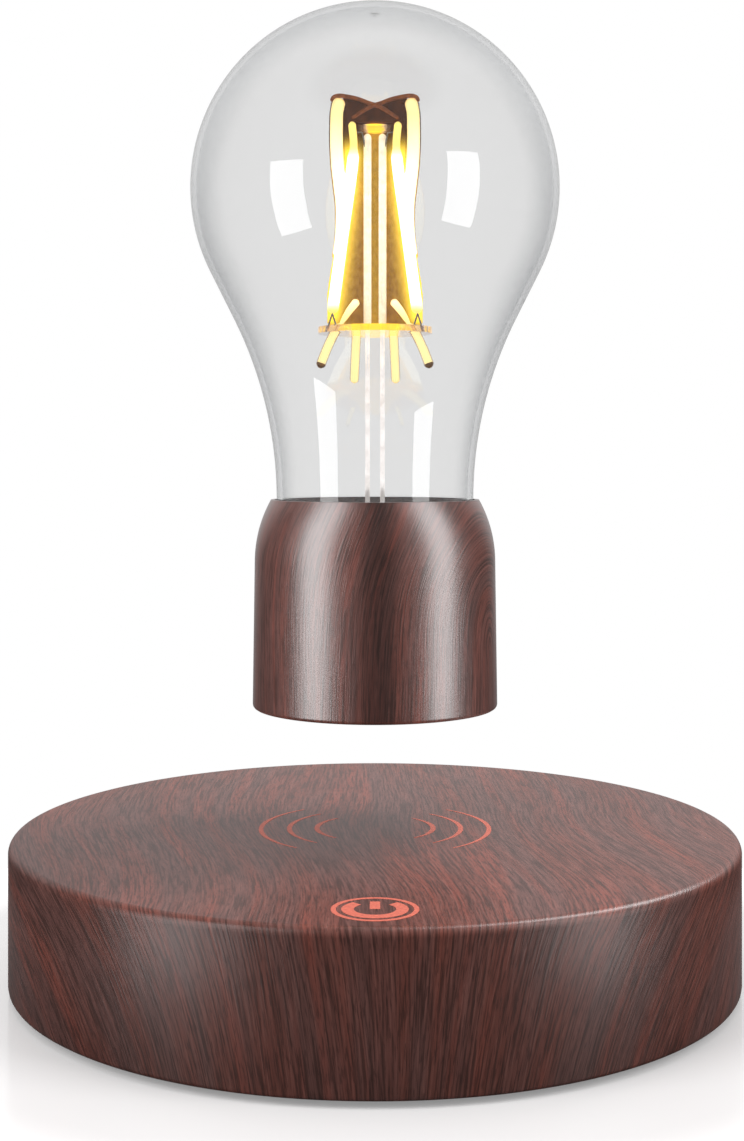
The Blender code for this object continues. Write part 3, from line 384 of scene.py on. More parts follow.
def wrapped(tree):
    """The film unrolled, its ends meeting behind. Its grain is rings about a point ARCH_TURN millimetres
    round to the right, and low down, where the height no longer counts, the rings become upright lines."""
    place = add(tree, "TexCoord").outputs["Object"]
    sized = add(tree, "Mapping", {"Vector": place, "Scale": (1 / MM, -1 / MM, 1 / MM)})
    x, front, z = add(tree, "SeparateXYZ", {0: sized}).outputs
    turn = add(tree, "Math", {0: x, 1: front}, operation="ARCTAN2")
    around = add(tree, "Math", {0: turn, 1: SOCKET_RADIUS / MM}, operation="MULTIPLY")
    low, high = SOCKET_BOTTOM / MM + 8, SOCKET_TOP / MM + 12
    climb = {"Value": z, "From Min": low, "From Max": high, "To Max": ARCH_RISE}
    height = add(tree, "MapRange", climb, **SMOOTH)
    spot = add(tree, "CombineXYZ", {0: around, 1: height})
    rings = {0: spot, 1: (ARCH_TURN, 0, 0)}
    away = add(tree, "VectorMath", rings, operation="DISTANCE")
    # Across the grain the print is finer here than on the base.
    fine = add(tree, "Math", {0: away, 1: SOCKET_FINENESS}, operation="MULTIPLY")
    # Painted shade darkens the print in front, drawn as a dark vein, and painted light makes it paler to
    # both sides of it.
    side = add(tree, "Math", {0: around, 1: 0.5}, operation="SUBTRACT")
    off = add(tree, "Math", {0: side}, operation="ABSOLUTE")
    ramp = {"Value": off, "From Min": 0.5, "From Max": 5.5, "To Min": FRONT_SHADE_TONE, "To Max": SIDE_LIGHT_TONE}
    painted_tone = add(tree, "MapRange", ramp, **SMOOTH)
    return add(tree, "CombineXYZ", {0: fine, 1: z}), painted_tone


socket_film = wood_film(
    "film_socket_wood_grain_varnished", wrapped,
    {"Roughness": 0.34, "IOR": 1.6, "Coat Weight": 1.0, "Coat Roughness": 0.30, "Coat IOR": 1.6},
)

# %% [markdown]
# ## Base case
# The base is a shallow moulded cup turned upside down, closed below by a plate.
# Its outline is a few points with two rounded corners, spun about Z with its inner wall.
# The hole for the power jack is cut through the rear wall.


# %% Base case
def cut_round_hole(piece, radius, start, end):
    """Cuts a round hole along the line from start to end."""
    bm = bmesh.new()
    turn = (end - start).to_track_quat("Z", "Y").to_matrix().to_4x4()
    bmesh.ops.create_cone(
        bm, cap_ends=True, segments=48, radius1=radius, radius2=radius, depth=(end - start).length,
        matrix=Matrix.Translation((start + end) / 2) @ turn,
    )
    cutter = to_object("cutter", bm)
    hole = piece.modifiers.new("hole", "BOOLEAN")
    hole.object = cutter
    hole.solver = "EXACT"
    piece.data = shown_mesh(piece)
    piece.modifiers.clear()
    bpy.data.objects.remove(cutter)
    shade(piece.data, 50)


HOLE_RADIUS = 4.0 * MM
wall, top = 2.5 * MM, 2.0 * MM
edge_round, foot_round = 1.5 * MM, 0.8 * MM
inner = BASE_RADIUS - wall
bm, first = start_outline(0, BASE_TOP)
corner = line_to(bm, first, BASE_RADIUS, BASE_TOP)
foot = line_to(bm, corner, BASE_RADIUS, BASE_BOTTOM)
inside = line_to(bm, foot, inner, BASE_BOTTOM)
ceiling = line_to(bm, inside, inner, BASE_TOP - top)
line_to(bm, ceiling, 0, BASE_TOP - top)
round_corner(bm, corner, edge_round, 8)
round_corner(bm, foot, foot_round, 4)
spin_round(bm, 192)
base_case = finish_piece("base_case", bm, "base", [base_film], 50)
jack_low, jack_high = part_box("dc_jack")
jack_height = (jack_low.z + jack_high.z) / 2
hole_start = Vector((0, BASE_RADIUS - 4 * MM, jack_height))
cut_round_hole(base_case, HOLE_RADIUS, hole_start, hole_start + mm(0, 6, 0))
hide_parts("base_shell")
print("base case faces with the jack hole", len(base_case.data.polygons))

# %% [markdown]
# ## Printed marks
# Three pairs of arcs show where the bulb floats, and a power mark shows where to touch.
# The real marks are matt orange-red ink on the film, so here they are slivers 0.03 mm proud of it.
# An arc is a small upright rectangle spun about Z, which narrows towards both ends.

# %% Printed marks
INK_TOP = BASE_TOP + 0.03 * MM
INK_BOTTOM = BASE_TOP - 0.2 * MM
# Radius and width of each pair of arcs, in millimetres.
SIGNAL_ARCS = ((19.8, 0.80), (14.9, 0.85), (10.1, 0.90))
SIGNAL_HALF = math.radians(49)
POWER_PLACE = mm(0, -52.5, 0)
RING_RADIUS, RING_WIDTH = 6.0 * MM, 0.75 * MM
SYMBOL_RADIUS, SYMBOL_WIDTH = 3.95 * MM, 1.8 * MM
SYMBOL_HALF_GAP = 2.6 * MM
BAR_WIDTH, BAR_LENGTH = 1.5 * MM, 4.0 * MM


def ink_arc(bm, centre, radius, width, start, sweep, steps, taper=0.0):
    """A flat curved bar about a centre on the top, from a start angle over a sweep.
    With a taper it narrows over the last seven tenths of each half."""
    before = len(bm.verts)
    corners = ((-1, INK_BOTTOM), (1, INK_BOTTOM), (1, INK_TOP), (-1, INK_TOP))
    section = [bm.verts.new(polar(radius + side * width / 2, start, height)) for side, height in corners]
    face = bm.faces.new(section)
    bmesh.ops.spin(
        bm, geom=[face], cent=(0, 0, 0), axis=(0, 0, 1), angle=sweep, steps=steps, use_merge=False
    )
    bm.verts.ensure_lookup_table()
    for vertex in bm.verts[before:]:
        angle = math.atan2(vertex.co.y, vertex.co.x)
        to_end = abs(math.remainder(angle - start - sweep / 2, math.tau)) / (sweep / 2)
        thin = 1 - taper * max(to_end - 0.3, 0) / 0.7
        reach = math.hypot(vertex.co.x, vertex.co.y)
        vertex.co = centre + polar(radius + (reach - radius) * thin, angle, vertex.co.z)


bm = bmesh.new()
for radius, width in SIGNAL_ARCS:
    for side in (0, math.pi):
        start = side - SIGNAL_HALF
        ink_arc(bm, Vector(), radius * MM, width * MM, start, 2 * SIGNAL_HALF, 40, 0.75)
ink_arc(bm, POWER_PLACE, RING_RADIUS, RING_WIDTH, 0, math.tau, 64)
gap = math.asin(SYMBOL_HALF_GAP / SYMBOL_RADIUS)
ink_arc(bm, POWER_PLACE, SYMBOL_RADIUS, SYMBOL_WIDTH, math.pi / 2 + gap, math.tau - 2 * gap, 48)
bar = bmesh.ops.create_cube(bm, size=1)["verts"]
bmesh.ops.scale(bm, vec=(BAR_WIDTH, BAR_LENGTH, INK_TOP - INK_BOTTOM), verts=bar)
middle = POWER_PLACE + Vector((0, BAR_LENGTH / 2, (INK_TOP + INK_BOTTOM) / 2))
bmesh.ops.translate(bm, vec=middle, verts=bar)
close_skin(bm)
ink = clouds("ink_orange_red_printed", "#B65B48", "#9C4C3E", 0.5, {"Roughness": 0.5, "IOR": 1.45})
marks = finish_piece("printed_marks", bm, "base", [ink])

# %% [markdown]
# ## Socket case
# The socket is the bulb's wood-look cap, a tube with a soft shoulder and a narrower bore at its top.
# The shoulder is one arc of 22 mm radius that starts upright, and the rim has a crisp edge.

# %% Socket case
body, rim, bore, cavity = (r * MM for r in (20.9, 18.1, 17.4, 19.3))
shoulder = 22 * MM
ledge = SOCKET_TOP - 11 * MM
bend = math.acos(1 - (body - rim) / shoulder)
shoulder_start = SOCKET_TOP - shoulder * math.sin(bend)
bm, first = start_outline(cavity, SOCKET_BOTTOM)
corner = line_to(bm, first, SOCKET_RADIUS, SOCKET_BOTTOM)
end = line_to(bm, corner, body, shoulder_start)
end = arc_to(bm, end, (body - shoulder, shoulder_start), -bend, 14)
end = line_to(bm, end, bore, SOCKET_TOP)
end = line_to(bm, end, bore, ledge)
end = line_to(bm, end, cavity, ledge)
line_to(bm, end, cavity, SOCKET_BOTTOM)
bmesh.ops.remove_doubles(bm, verts=bm.verts, dist=1e-7)
round_corner(bm, corner, 0.7 * MM, 4)
spin_round(bm, 160)
socket_case = finish_piece("socket_case", bm, "bulb", [socket_film], 30)
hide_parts("bulb_socket")

# %% [markdown]
# ## Glass envelope
# The envelope is blown soda-lime glass about 1 mm thick: a straight neck, a hollow curve,
# a straight cone and a ball. The outline is two arcs and two lines, and Solidify gives it a wall.
# Clear glass shows mostly by its grey edges, where one looks along the wall, and by the
# softboxes that it mirrors. So its tint deepens towards the edge.


# %% Glass envelope
def edge_tinted(name, face, edge, start, shader):
    """Clear glass or acrylic whose tint deepens where its wall is seen edge-on."""
    made, tree = start_material(name)
    facing = add(tree, "LayerWeight", {"Blend": 0.5}).outputs["Facing"]
    deep = add(tree, "MapRange", {"Value": facing, "From Min": start, "From Max": 1.0})
    tint = add(tree, "Mix", {0: deep, 6: linear(face), 7: linear(edge)}, data_type="RGBA")
    return close_material(made, tree, {"Base Color": tint, "Transmission Weight": 1.0, **shader})


clear_glass = edge_tinted(
    "glass_soda_lime_blown", "#F1F1F1", "#AAADB0", 0.45, {"Roughness": 0.0, "IOR": 1.5}
)

_, bottom, top = spread("glass_envelope")
neck, ball, hollow = 17.1 * MM, 32 * MM, 70 * MM
slope = math.radians(26.6)
centre = top - ball
bm, first = start_outline(neck, bottom)
end = line_to(bm, first, neck, SOCKET_TOP)
end = arc_to(bm, end, (neck + hollow, SOCKET_TOP), slope, 20)
end = line_to(bm, end, ball * math.cos(slope), centre - ball * math.sin(slope))
arc_to(bm, end, (0, centre), -(math.pi / 2 + slope), 56)
bmesh.ops.remove_doubles(bm, verts=bm.verts, dist=1e-7)
spin_round(bm, 160)
bulb_glass = finish_piece("bulb_glass", bm, "bulb", [clear_glass], 60)
wall = bulb_glass.modifiers.new("wall", "SOLIDIFY")
wall.thickness = 1.0 * MM
wall.offset = -1
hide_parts("glass_envelope")

# %% [markdown]
# ## Amber light guide
# Four thin fins stand around the axis under a saddle-shaped roof, all moulded in amber acrylic.
# They are drawn as flat plates and a prism, then fused by a voxel remesh that rounds every join.
# A thick rib runs up each fin's edge, and a leg leaves each fin's foot through the lower disc.
# A rib is clear amber around a core that glows with painted light, which is what gives it a golden
# outline.

# %% Sizes of the light guide
FIN_ANGLES = [math.radians(a) for a in (30, 150, 210, 330)]
GUIDE_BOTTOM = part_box("lower_disc")[1].z + 0.3 * MM
ROOF_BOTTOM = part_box("upper_disc")[1].z + 0.3 * MM
DISC_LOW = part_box("upper_disc")[0].z
RIB_RADIUS = 1.35 * MM
RIB_CORE = 0.66
RIB_RISE = 5.4 * MM
LEG_RADIUS, LEG_CORE = 0.85 * MM, 0.52 * MM
LEG_TIP = 1.38 * MM
RIDGE_RADIUS = 0.38 * MM
REACH = 9.2 * MM
# The edge of a fin: height as a share up to the roof, and reach as a share of the widest.
FIN_EDGE = (
    (0.00, 1.00), (0.15, 1.00), (0.23, 0.955), (0.325, 0.885), (0.415, 0.815), (0.51, 0.755),
    (0.60, 0.725), (0.68, 0.75), (0.785, 0.80), (0.90, 0.825), (1.0, 0.825),
)
# The ribs' middle lines go on up the roof's corners, with heights as shares of RIB_RISE.
ROOF_EDGE = ((0.15, 0.82), (0.40, 0.80), (0.58, 0.77), (0.72, 0.72))
ROOF_TOP = ROOF_BOTTOM + 4.5 * MM
ROOF_CORNER = math.radians(30)


def edge_points():
    low = [(REACH * share, GUIDE_BOTTOM + (ROOF_BOTTOM - GUIDE_BOTTOM) * rise) for rise, share in FIN_EDGE]
    high = [(REACH * share, ROOF_BOTTOM + RIB_RISE * rise) for rise, share in ROOF_EDGE]
    return low, high


def valley_side(angle):
    """The sign of the turn from a fin to the nearer of the front and rear valleys."""
    return 1 if math.cos(angle) * math.sin(angle) > 0 else -1


def beside_fin(angle, reach, offset, height):
    """A point along a fin, moved off its middle plane towards the front or rear valley."""
    side = valley_side(angle)
    return polar(reach, angle, height) + Vector((-math.sin(angle), math.cos(angle), 0)) * side * offset


FILAMENTS = []
for angle in FIN_ANGLES:
    foot = beside_fin(angle, 9.3 * MM, 1.6 * MM, GUIDE_BOTTOM + 1.7 * MM)
    head = beside_fin(angle, 5.25 * MM, 1.6 * MM, DISC_LOW - 4.6 * MM)
    FILAMENTS.append((angle, foot, head))

# %% Finishes of the light guide
# Moulded amber acrylic: golden brown below, dark brown high up away from the axis and in the thick roof,
# partly the deeper colour of thick amber and partly painted shade; beside a filament it glows with painted
# light.
# Its mottle is 0.7 mm wide and 1.1 mm tall.
made, tree = start_material("acrylic_amber_moulded_painted_glow")
place = add(tree, "TexCoord").outputs["Object"]
x, y, height = add(tree, "SeparateXYZ", {0: place}).outputs
fine = add(tree, "Mapping", {"Vector": place, "Scale": (1.4 / MM, 1.4 / MM, 0.9 / MM)})
cloud = add(tree, "TexNoise", {"Vector": fine, "Scale": 1.0, "Detail": 3.0, "Roughness": 0.6})
tone = add(tree, "MapRange", {"Value": cloud, "From Min": 0.35, "From Max": 0.7})
golden = {0: tone, 6: linear("#B48A3E"), 7: linear("#906526")}
low = add(tree, "Mix", golden, data_type="RGBA")
brown = {0: tone, 6: linear("#5E2F08"), 7: linear("#401D03")}
high = add(tree, "Mix", brown, data_type="RGBA")
level = {"Value": height, "From Min": ROOF_BOTTOM - 12 * MM, "From Max": ROOF_BOTTOM - 6 * MM}
share = add(tree, "MapRange", level, **SMOOTH)
flat = add(tree, "CombineXYZ", {0: x, 1: y})
reach = add(tree, "VectorMath", {0: flat}, operation="LENGTH")
outside = {"Value": reach, "From Min": 1.6 * MM, "From Max": 2.6 * MM}
away = add(tree, "MapRange", outside, **SMOOTH)
under = {"Value": height, "From Min": ROOF_BOTTOM - 0.6 * MM, "From Max": ROOF_BOTTOM}
roof = add(tree, "MapRange", under)
outer = add(tree, "Math", {0: away, 1: roof}, operation="MAXIMUM")
dark = add(tree, "Math", {0: share, 1: outer}, operation="MULTIPLY")
colour = add(tree, "Mix", {0: dark, 6: low, 7: high}, data_type="RGBA")
# Painted light: beside the filaments the acrylic glows with their light, painted on as its own.
glow = add(tree, "Attribute", attribute_name="glow").outputs["Fac"]
strength = add(tree, "Math", {0: glow, 1: 2.8}, operation="MULTIPLY")
inputs = {
    "Base Color": colour, "Roughness": 0.4, "IOR": 1.49, "Specular IOR Level": 0.08,
    "Emission Color": linear("#FFD83C"), "Emission Strength": strength,
}
amber = close_material(made, tree, inputs)


def glowing(name, head, foot, tones, strengths, roughness, **curve):
    """A lit body: hot along its middle, and cooler past the two heights given at its head and foot."""
    made, tree = start_material(name)
    place = add(tree, "TexCoord").outputs["Object"]
    height = add(tree, "SeparateXYZ", {0: place}).outputs["Z"]
    upper = {"Value": height, "From Min": head[0], "From Max": head[1]}
    above = add(tree, "MapRange", upper, **curve)
    below = add(tree, "MapRange", {"Value": height, "From Min": foot[0], "From Max": foot[1]})
    ends = add(tree, "Math", {0: above, 1: below}, operation="MAXIMUM")
    hot, cool = (linear(tone) for tone in tones)
    colour = add(tree, "Mix", {0: ends, 6: hot, 7: cool}, data_type="RGBA")
    fading = {"Value": ends, "To Min": strengths[0], "To Max": strengths[1]}
    strength = add(tree, "MapRange", fading)
    inputs = {"Base Color": colour, "Roughness": roughness, "Emission Color": colour}
    return close_material(made, tree, {**inputs, "Emission Strength": strength})


# Painted light inside the acrylic: a core that glows white low down beside the filaments, pale yellow at
# the far ends.
painted_glow_core = glowing(
    "acrylic_core_painted_glow", (ROOF_BOTTOM - 9 * MM, ROOF_BOTTOM + 1 * MM),
    (GUIDE_BOTTOM + 6 * MM, GUIDE_BOTTOM + 1 * MM), ("#FFFBE6", "#FFF3B8"), (1.5, 0.9), 0.5,
)
# The clear skin of ribs and legs darkens to amber at its outline.
amber_skin = edge_tinted(
    "acrylic_amber_clear", "#FFF8DC", "#CC8C28", 0.18, {"Roughness": 0.05, "IOR": 1.3}
)
# Thick acrylic looks brown: it is darkest at the leg tips, and redder along the roof's ridges.
amber_dark = clouds("acrylic_amber_dark", "#8E5F20", "#663F10", 0.8, {"Roughness": 0.3, "IOR": 1.4})
amber_ridge = clouds("acrylic_amber_ridge", "#A4581C", "#7C3E10", 0.8, {"Roughness": 0.5, "IOR": 1.4})


# %% Fins
def add_fin(bm, angle):
    half = 0.55 * MM
    low, _ = edge_points()
    outline = [(0, GUIDE_BOTTOM)] + low + [(REACH * 0.74, ROOF_TOP - 0.8 * MM), (0, ROOF_BOTTOM + 1 * MM)]
    face = bm.faces.new([bm.verts.new((reach, -half, height)) for reach, height in outline])
    grown = bmesh.ops.extrude_face_region(bm, geom=[face])["geom"]
    far_side = [item for item in grown if isinstance(item, bmesh.types.BMVert)]
    bmesh.ops.translate(bm, vec=(0, 2 * half, 0), verts=far_side)
    plate = list(face.verts) + far_side
    bmesh.ops.rotate(bm, verts=plate, cent=(0, 0, 0), matrix=Matrix.Rotation(angle, 3, "Z"))


# %% Roof
def panel_share(angle):
    """From 0 at a corner of the roof to 1 at the middle of the side that the angle looks at."""
    to_side = abs(math.remainder(angle, math.pi))
    if to_side < ROOF_CORNER:
        return 1 - to_side / ROOF_CORNER
    return (to_side - ROOF_CORNER) / (math.pi / 2 - ROOF_CORNER)


def roof_reach(angle, corner):
    """How far the roof reaches in a direction: its corners are at the fins, its sides a little hollow."""
    narrow = abs(math.remainder(angle, math.pi)) < ROOF_CORNER
    half = ROOF_CORNER if narrow else math.pi / 2 - ROOF_CORNER
    turn = 1 - panel_share(angle)
    flat = corner * math.cos(half) / math.cos(half * turn)
    return flat * (1 - 0.09 * math.cos(turn * math.pi / 2))


def roof_point(angle, rise):
    """A point on the roof's wall, whose top edge dips between the corners like a saddle."""
    dip = 1.35 * MM * (1 - math.cos(math.pi * panel_share(angle))) / 2
    height = ROOF_BOTTOM + (ROOF_TOP - dip - ROOF_BOTTOM) * rise
    return polar(roof_reach(angle, (6.9 - 0.5 * rise) * MM), angle, height)


def add_roof(bm):
    """A four-cornered prism, wide across, whose top sags towards the middle."""
    ring = bmesh.ops.create_circle(bm, segments=120, radius=REACH, cap_ends=True)["verts"]
    edges = list({edge for vertex in ring for edge in vertex.link_edges if edge.is_boundary})
    for vertex in ring:
        vertex.co = roof_point(math.atan2(vertex.co.y, vertex.co.x), 0)
    for inward, sunk in ((1.0, 0.0), (0.7, 0.5), (0.4, 0.9)):
        made = bmesh.ops.extrude_edge_only(bm, edges=edges)["geom"]
        ring = [item for item in made if isinstance(item, bmesh.types.BMVert)]
        edges = [item for item in made if isinstance(item, bmesh.types.BMEdge)]
        for vertex in ring:
            place = roof_point(math.atan2(vertex.co.y, vertex.co.x), 1)
            vertex.co = (place.x * inward, place.y * inward, place.z - sunk * MM)
    top = bmesh.ops.extrude_edge_only(bm, edges=edges)["geom"]
    inner = [item for item in top if isinstance(item, bmesh.types.BMVert)]
    bmesh.ops.pointmerge(bm, verts=inner, merge_co=(0, 0, ROOF_TOP - 2.4 * MM))


# %% Guide body
def paint_filament_glow(piece, reach):
    """Stores, as painted light, how much light each vertex gets from the filaments near it, and a
    little that gathers along the axis under the roof."""
    values = []
    for vertex in piece.data.vertices:
        nearest = 1.0
        for _, start, end in FILAMENTS:
            along = end - start
            share = min(max((vertex.co - start).dot(along) / along.length_squared, 0), 1)
            nearest = min(nearest, (vertex.co - start - along * share).length)
        inside = 0.11 if vertex.co.z < ROOF_BOTTOM - 0.5 * MM else 0.0
        centre = inside * math.exp(-((vertex.co.xy.length / (1.8 * MM)) ** 2))
        values.append(math.exp(-((nearest / reach) ** 2)) + centre)
    made = piece.data.attributes.new("glow", "FLOAT", "POINT")
    made.data.foreach_set("value", values)


bm = bmesh.new()
for angle in FIN_ANGLES:
    add_fin(bm, angle)
add_roof(bm)
close_skin(bm)
guide_body = finish_piece("guide_body", bm, "bulb", [amber], 60)
fuse = guide_body.modifiers.new("fuse", "REMESH")
fuse.mode = "VOXEL"
fuse.voxel_size = 0.19 * MM
soften = guide_body.modifiers.new("soften", "SMOOTH")
soften.iterations = 5
guide_body.data = shown_mesh(guide_body)
guide_body.modifiers.clear()
guide_body.data.shade_smooth()
paint_filament_glow(guide_body, 2.2 * MM)
print("guide body faces after the remesh", len(guide_body.data.polygons))


# %% Ribs and legs
def leg_path(angle):
    """The middle of a leg. Rear legs turn far round to the rear, front legs stay by their fins."""
    rear = math.sin(angle) > 0
    reach, offset, turn, drop = (3.6, 0.6, 39, 8.2) if rear else (3.9, 0.9, -4, 6.2)
    start = beside_fin(angle, reach * MM, offset * MM, GUIDE_BOTTOM + 4.2 * MM)
    tip_angle = angle + valley_side(angle) * math.radians(turn)
    tip = polar(10.5 * MM, tip_angle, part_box("lower_disc")[0].z - drop * MM)
    bend = start.lerp(tip, 0.63)
    bend.z = start.z + (tip.z - start.z) * 0.36
    return [start.lerp(bend, i / 10).lerp(bend.lerp(tip, i / 10), i / 10) for i in range(11)]


def rib_path(angle):
    low, high = edge_points()
    return smooth_path([polar(reach, angle, height) for reach, height in low[3:-1] + high], 5)


def rib_radius(height):
    """A rib grows out of its fin's edge from a third of the way up to two thirds."""
    share = (height - GUIDE_BOTTOM) / (ROOF_BOTTOM - GUIDE_BOTTOM)
    grown = min(max((share - 0.34) / 0.34, 0), 1)
    return RIB_RADIUS * (0.30 + 0.70 * grown * grown * (3 - 2 * grown))


bm = bmesh.new()
for angle in FIN_ANGLES:
    rib = rib_path(angle)
    radii = [rib_radius(point.z) for point in rib]
    add_rod(bm, rib, radii, 0, 32)
    add_rod(bm, rib[1:], [r * RIB_CORE for r in radii[1:]], 1, 20)
    leg = leg_path(angle)
    before = len(bm.faces)
    add_rod(bm, leg, [LEG_RADIUS] * len(leg), 0, 24)
    bm.faces.ensure_lookup_table()
    # The front legs end in a dark tip.
    for face in bm.faces[before:]:
        if math.sin(angle) < 0 and (face.calc_center_median() - leg[-1]).length < LEG_TIP:
            face.material_index = 2
    add_rod(bm, leg, [LEG_CORE] * len(leg), 1, 16)
close_skin(bm)
guide_ribs = finish_piece("guide_ribs_and_legs", bm, "bulb", [amber_skin, painted_glow_core, amber_dark], 60)

# %% Roof ridges
# Two raised lines cross on the front and on the rear of the roof. A line runs over a rib's top,
# along the roof's edge and down its wall. Its points are across, outwards and down.
RIDGE = (
    (-7.5, 4.1, 1.1), (-7.1, 3.9, 0.35), (-6.2, 3.6, 0.0), (-5.0, 3.25, 0.05), (-3.0, 3.1, 0.45),
    (-1.2, 3.0, 1.1), (1.0, 3.0, 1.9), (4.1, 3.15, 3.9),
)
bm = bmesh.new()
for face in (-1, 1):
    for side in (-1, 1):
        points = [mm(side * x, face * y, -drop) + Vector((0, 0, ROOF_TOP)) for x, y, drop in RIDGE]
        path = smooth_path(points, 5)
        add_rod(bm, path, [RIDGE_RADIUS] * len(path), 0, 12)
close_skin(bm)
guide_ridges = finish_piece("guide_roof_ridges", bm, "bulb", [amber_ridge], 60)
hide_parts("light_guide")

# %% [markdown]
# ## Filaments and their leads
# A filament is a thin strip of light-emitting chips in a yellow phosphor coat.
# Lit, it looks white with a yellow edge, and its two ends stay yellow.
# Two grey nickel wires hold it to the lower disc, and a third from its head runs under the upper.

# %% Filaments
# The coat is white-hot along the middle, its own yellow at the foot and the head.
phosphor = glowing(
    "phosphor_coat_yellow", (DISC_LOW - 6 * MM, DISC_LOW - 2.5 * MM),
    (GUIDE_BOTTOM + 3.6 * MM, GUIDE_BOTTOM + 2.2 * MM), ("#FFFCE8", "#FFE982"), (1.8, 0.75), 0.4,
    **SMOOTH,
)
nickel_wire = clouds("wire_nickel_drawn", "#8E8A88", "#6F6F74", 0.3, {"Metallic": 1.0, "Roughness": 0.35})
FILAMENT_RADIUS = 1.0 * MM
WIRE_RADIUS = 0.16 * MM
for number, (angle, foot, head) in enumerate(FILAMENTS, 1):
    bm = bmesh.new()
    top = beside_fin(angle, 5.5 * MM, 1.6 * MM, ROOF_BOTTOM - 0.1 * MM)
    path = smooth_path([foot, foot.lerp(head, 0.5), head, top], 6)
    add_rod(bm, path, [FILAMENT_RADIUS] * (len(path) - 6) + [0.66 * MM] * 6, 0, 24)
    for side in (-1, 1):
        end = Vector((foot.x + side * 0.65 * MM, foot.y, GUIDE_BOTTOM - 0.4 * MM))
        add_rod(bm, [foot, foot.lerp(end, 0.5), end], [WIRE_RADIUS] * 3, 1, 8)
    knee = beside_fin(angle, 3.3 * MM, 1.3 * MM, DISC_LOW - 0.2 * MM)
    tail = Vector((math.copysign(1.5 * MM, head.x), math.copysign(2.4 * MM, head.y), DISC_LOW - 3.8 * MM))
    add_rod(bm, [path[-3], knee, tail], [WIRE_RADIUS] * 3, 1, 8)
    close_skin(bm)
    piece = finish_piece(f"lit_filament_{number}", bm, "bulb", [phosphor, nickel_wire], 60)
    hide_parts(f"filament_{number}")

# %% [markdown]
# ## Rods and discs
# Two bright rods carry the guide and the current. Between the discs each wears a white glass sleeve, which
# glows with painted light.
# The discs are clear acrylic, pinkish at both ends, and golden in between with painted light, where the
# light enters.

# %% Rods and discs
ROD_RADIUS, SLEEVE_RADIUS = 0.4 * MM, 0.68 * MM
# A polished rod mirrors the filaments all along, which a little light of its own stands for.
rod_nickel = clouds(
    "rod_nickel_polished", "#F4F0EE", "#E3DCD8", 2.0,
    {"Metallic": 1.0, "Roughness": 0.14, "Emission Strength": 0.5},
)
# The sleeves' own light is painted light from the filaments beside them.
sleeve_painted_glow = clouds(
    "sleeve_glass_white_painted_glow", "#FFF8EA", "#F6E8D2", 1.5, {"Roughness": 0.2, "Emission Strength": 0.45}
)


def lit_disc(name, reach, strength):
    """Clear acrylic, pinkish at its left and right ends, with painted golden light where the wide guide
    stands on it.
    """
    made, tree = start_material(name)
    place = add(tree, "TexCoord").outputs["Object"]
    x = add(tree, "SeparateXYZ", {0: place}).outputs["X"]
    out = add(tree, "Math", {0: x}, operation="ABSOLUTE")
    # A mottle of 1.1 mm frays the edge of the painted gold light.
    fine = add(tree, "Mapping", {"Vector": place, "Scale": [0.9 / MM] * 3})
    cloud = add(tree, "TexNoise", {"Vector": fine, "Scale": 1.0, "Detail": 2.0})
    drift = add(tree, "Math", {0: cloud, 1: 1.6 * MM, 2: out}, operation="MULTIPLY_ADD")
    inside = {"Value": drift, "From Min": reach + 1.0 * MM, "From Max": reach}
    gold = add(tree, "MapRange", inside, **SMOOTH)
    # Painted light: the gold tone and its glow stand in for the guide's light entering the disc.
    tones = {0: gold, 6: linear("#FBE3D6"), 7: linear("#F4CE3A")}
    colour = add(tree, "Mix", tones, data_type="RGBA")
    lit = add(tree, "Math", {0: gold, 1: strength}, operation="MULTIPLY")
    inputs = {
        "Base Color": colour, "Roughness": 0.08, "IOR": 1.4, "Transmission Weight": 0.8,
        "Emission Color": colour, "Emission Strength": lit,
    }
    return close_material(made, tree, inputs)


disc_clear = lit_disc("acrylic_disc_lower", 4.6 * MM, 0.4)
disc_painted_gold = lit_disc("acrylic_disc_upper", 1.8 * MM, 1.0)
sleeve_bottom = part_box("lower_disc")[1].z + 0.1 * MM
for side in ("left", "right"):
    low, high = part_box(f"stem_rod_{side}")
    middle = (low + high) / 2
    bottom, top = Vector((middle.x, middle.y, low.z)), Vector((middle.x, middle.y, high.z))
    start = Vector((middle.x, middle.y, sleeve_bottom))
    bm = bmesh.new()
    add_rod(bm, [bottom, middle, top], [ROD_RADIUS] * 3, 0, 24)
    add_rod(bm, [start, start.lerp(top, 0.5), top], [SLEEVE_RADIUS] * 3, 1, 24)
    close_skin(bm)
    piece = finish_piece(f"sleeved_rod_{side}", bm, "bulb", [rod_nickel, sleeve_painted_glow], 60)
    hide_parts(f"stem_rod_{side}")

# %% [markdown]
# ## Parts that stay as the CAD has them
# The cover, feet, screws, jack and everything inside keep their CAD meshes.
# Each gets the finish of its real material, with its own fine pattern at a real size.

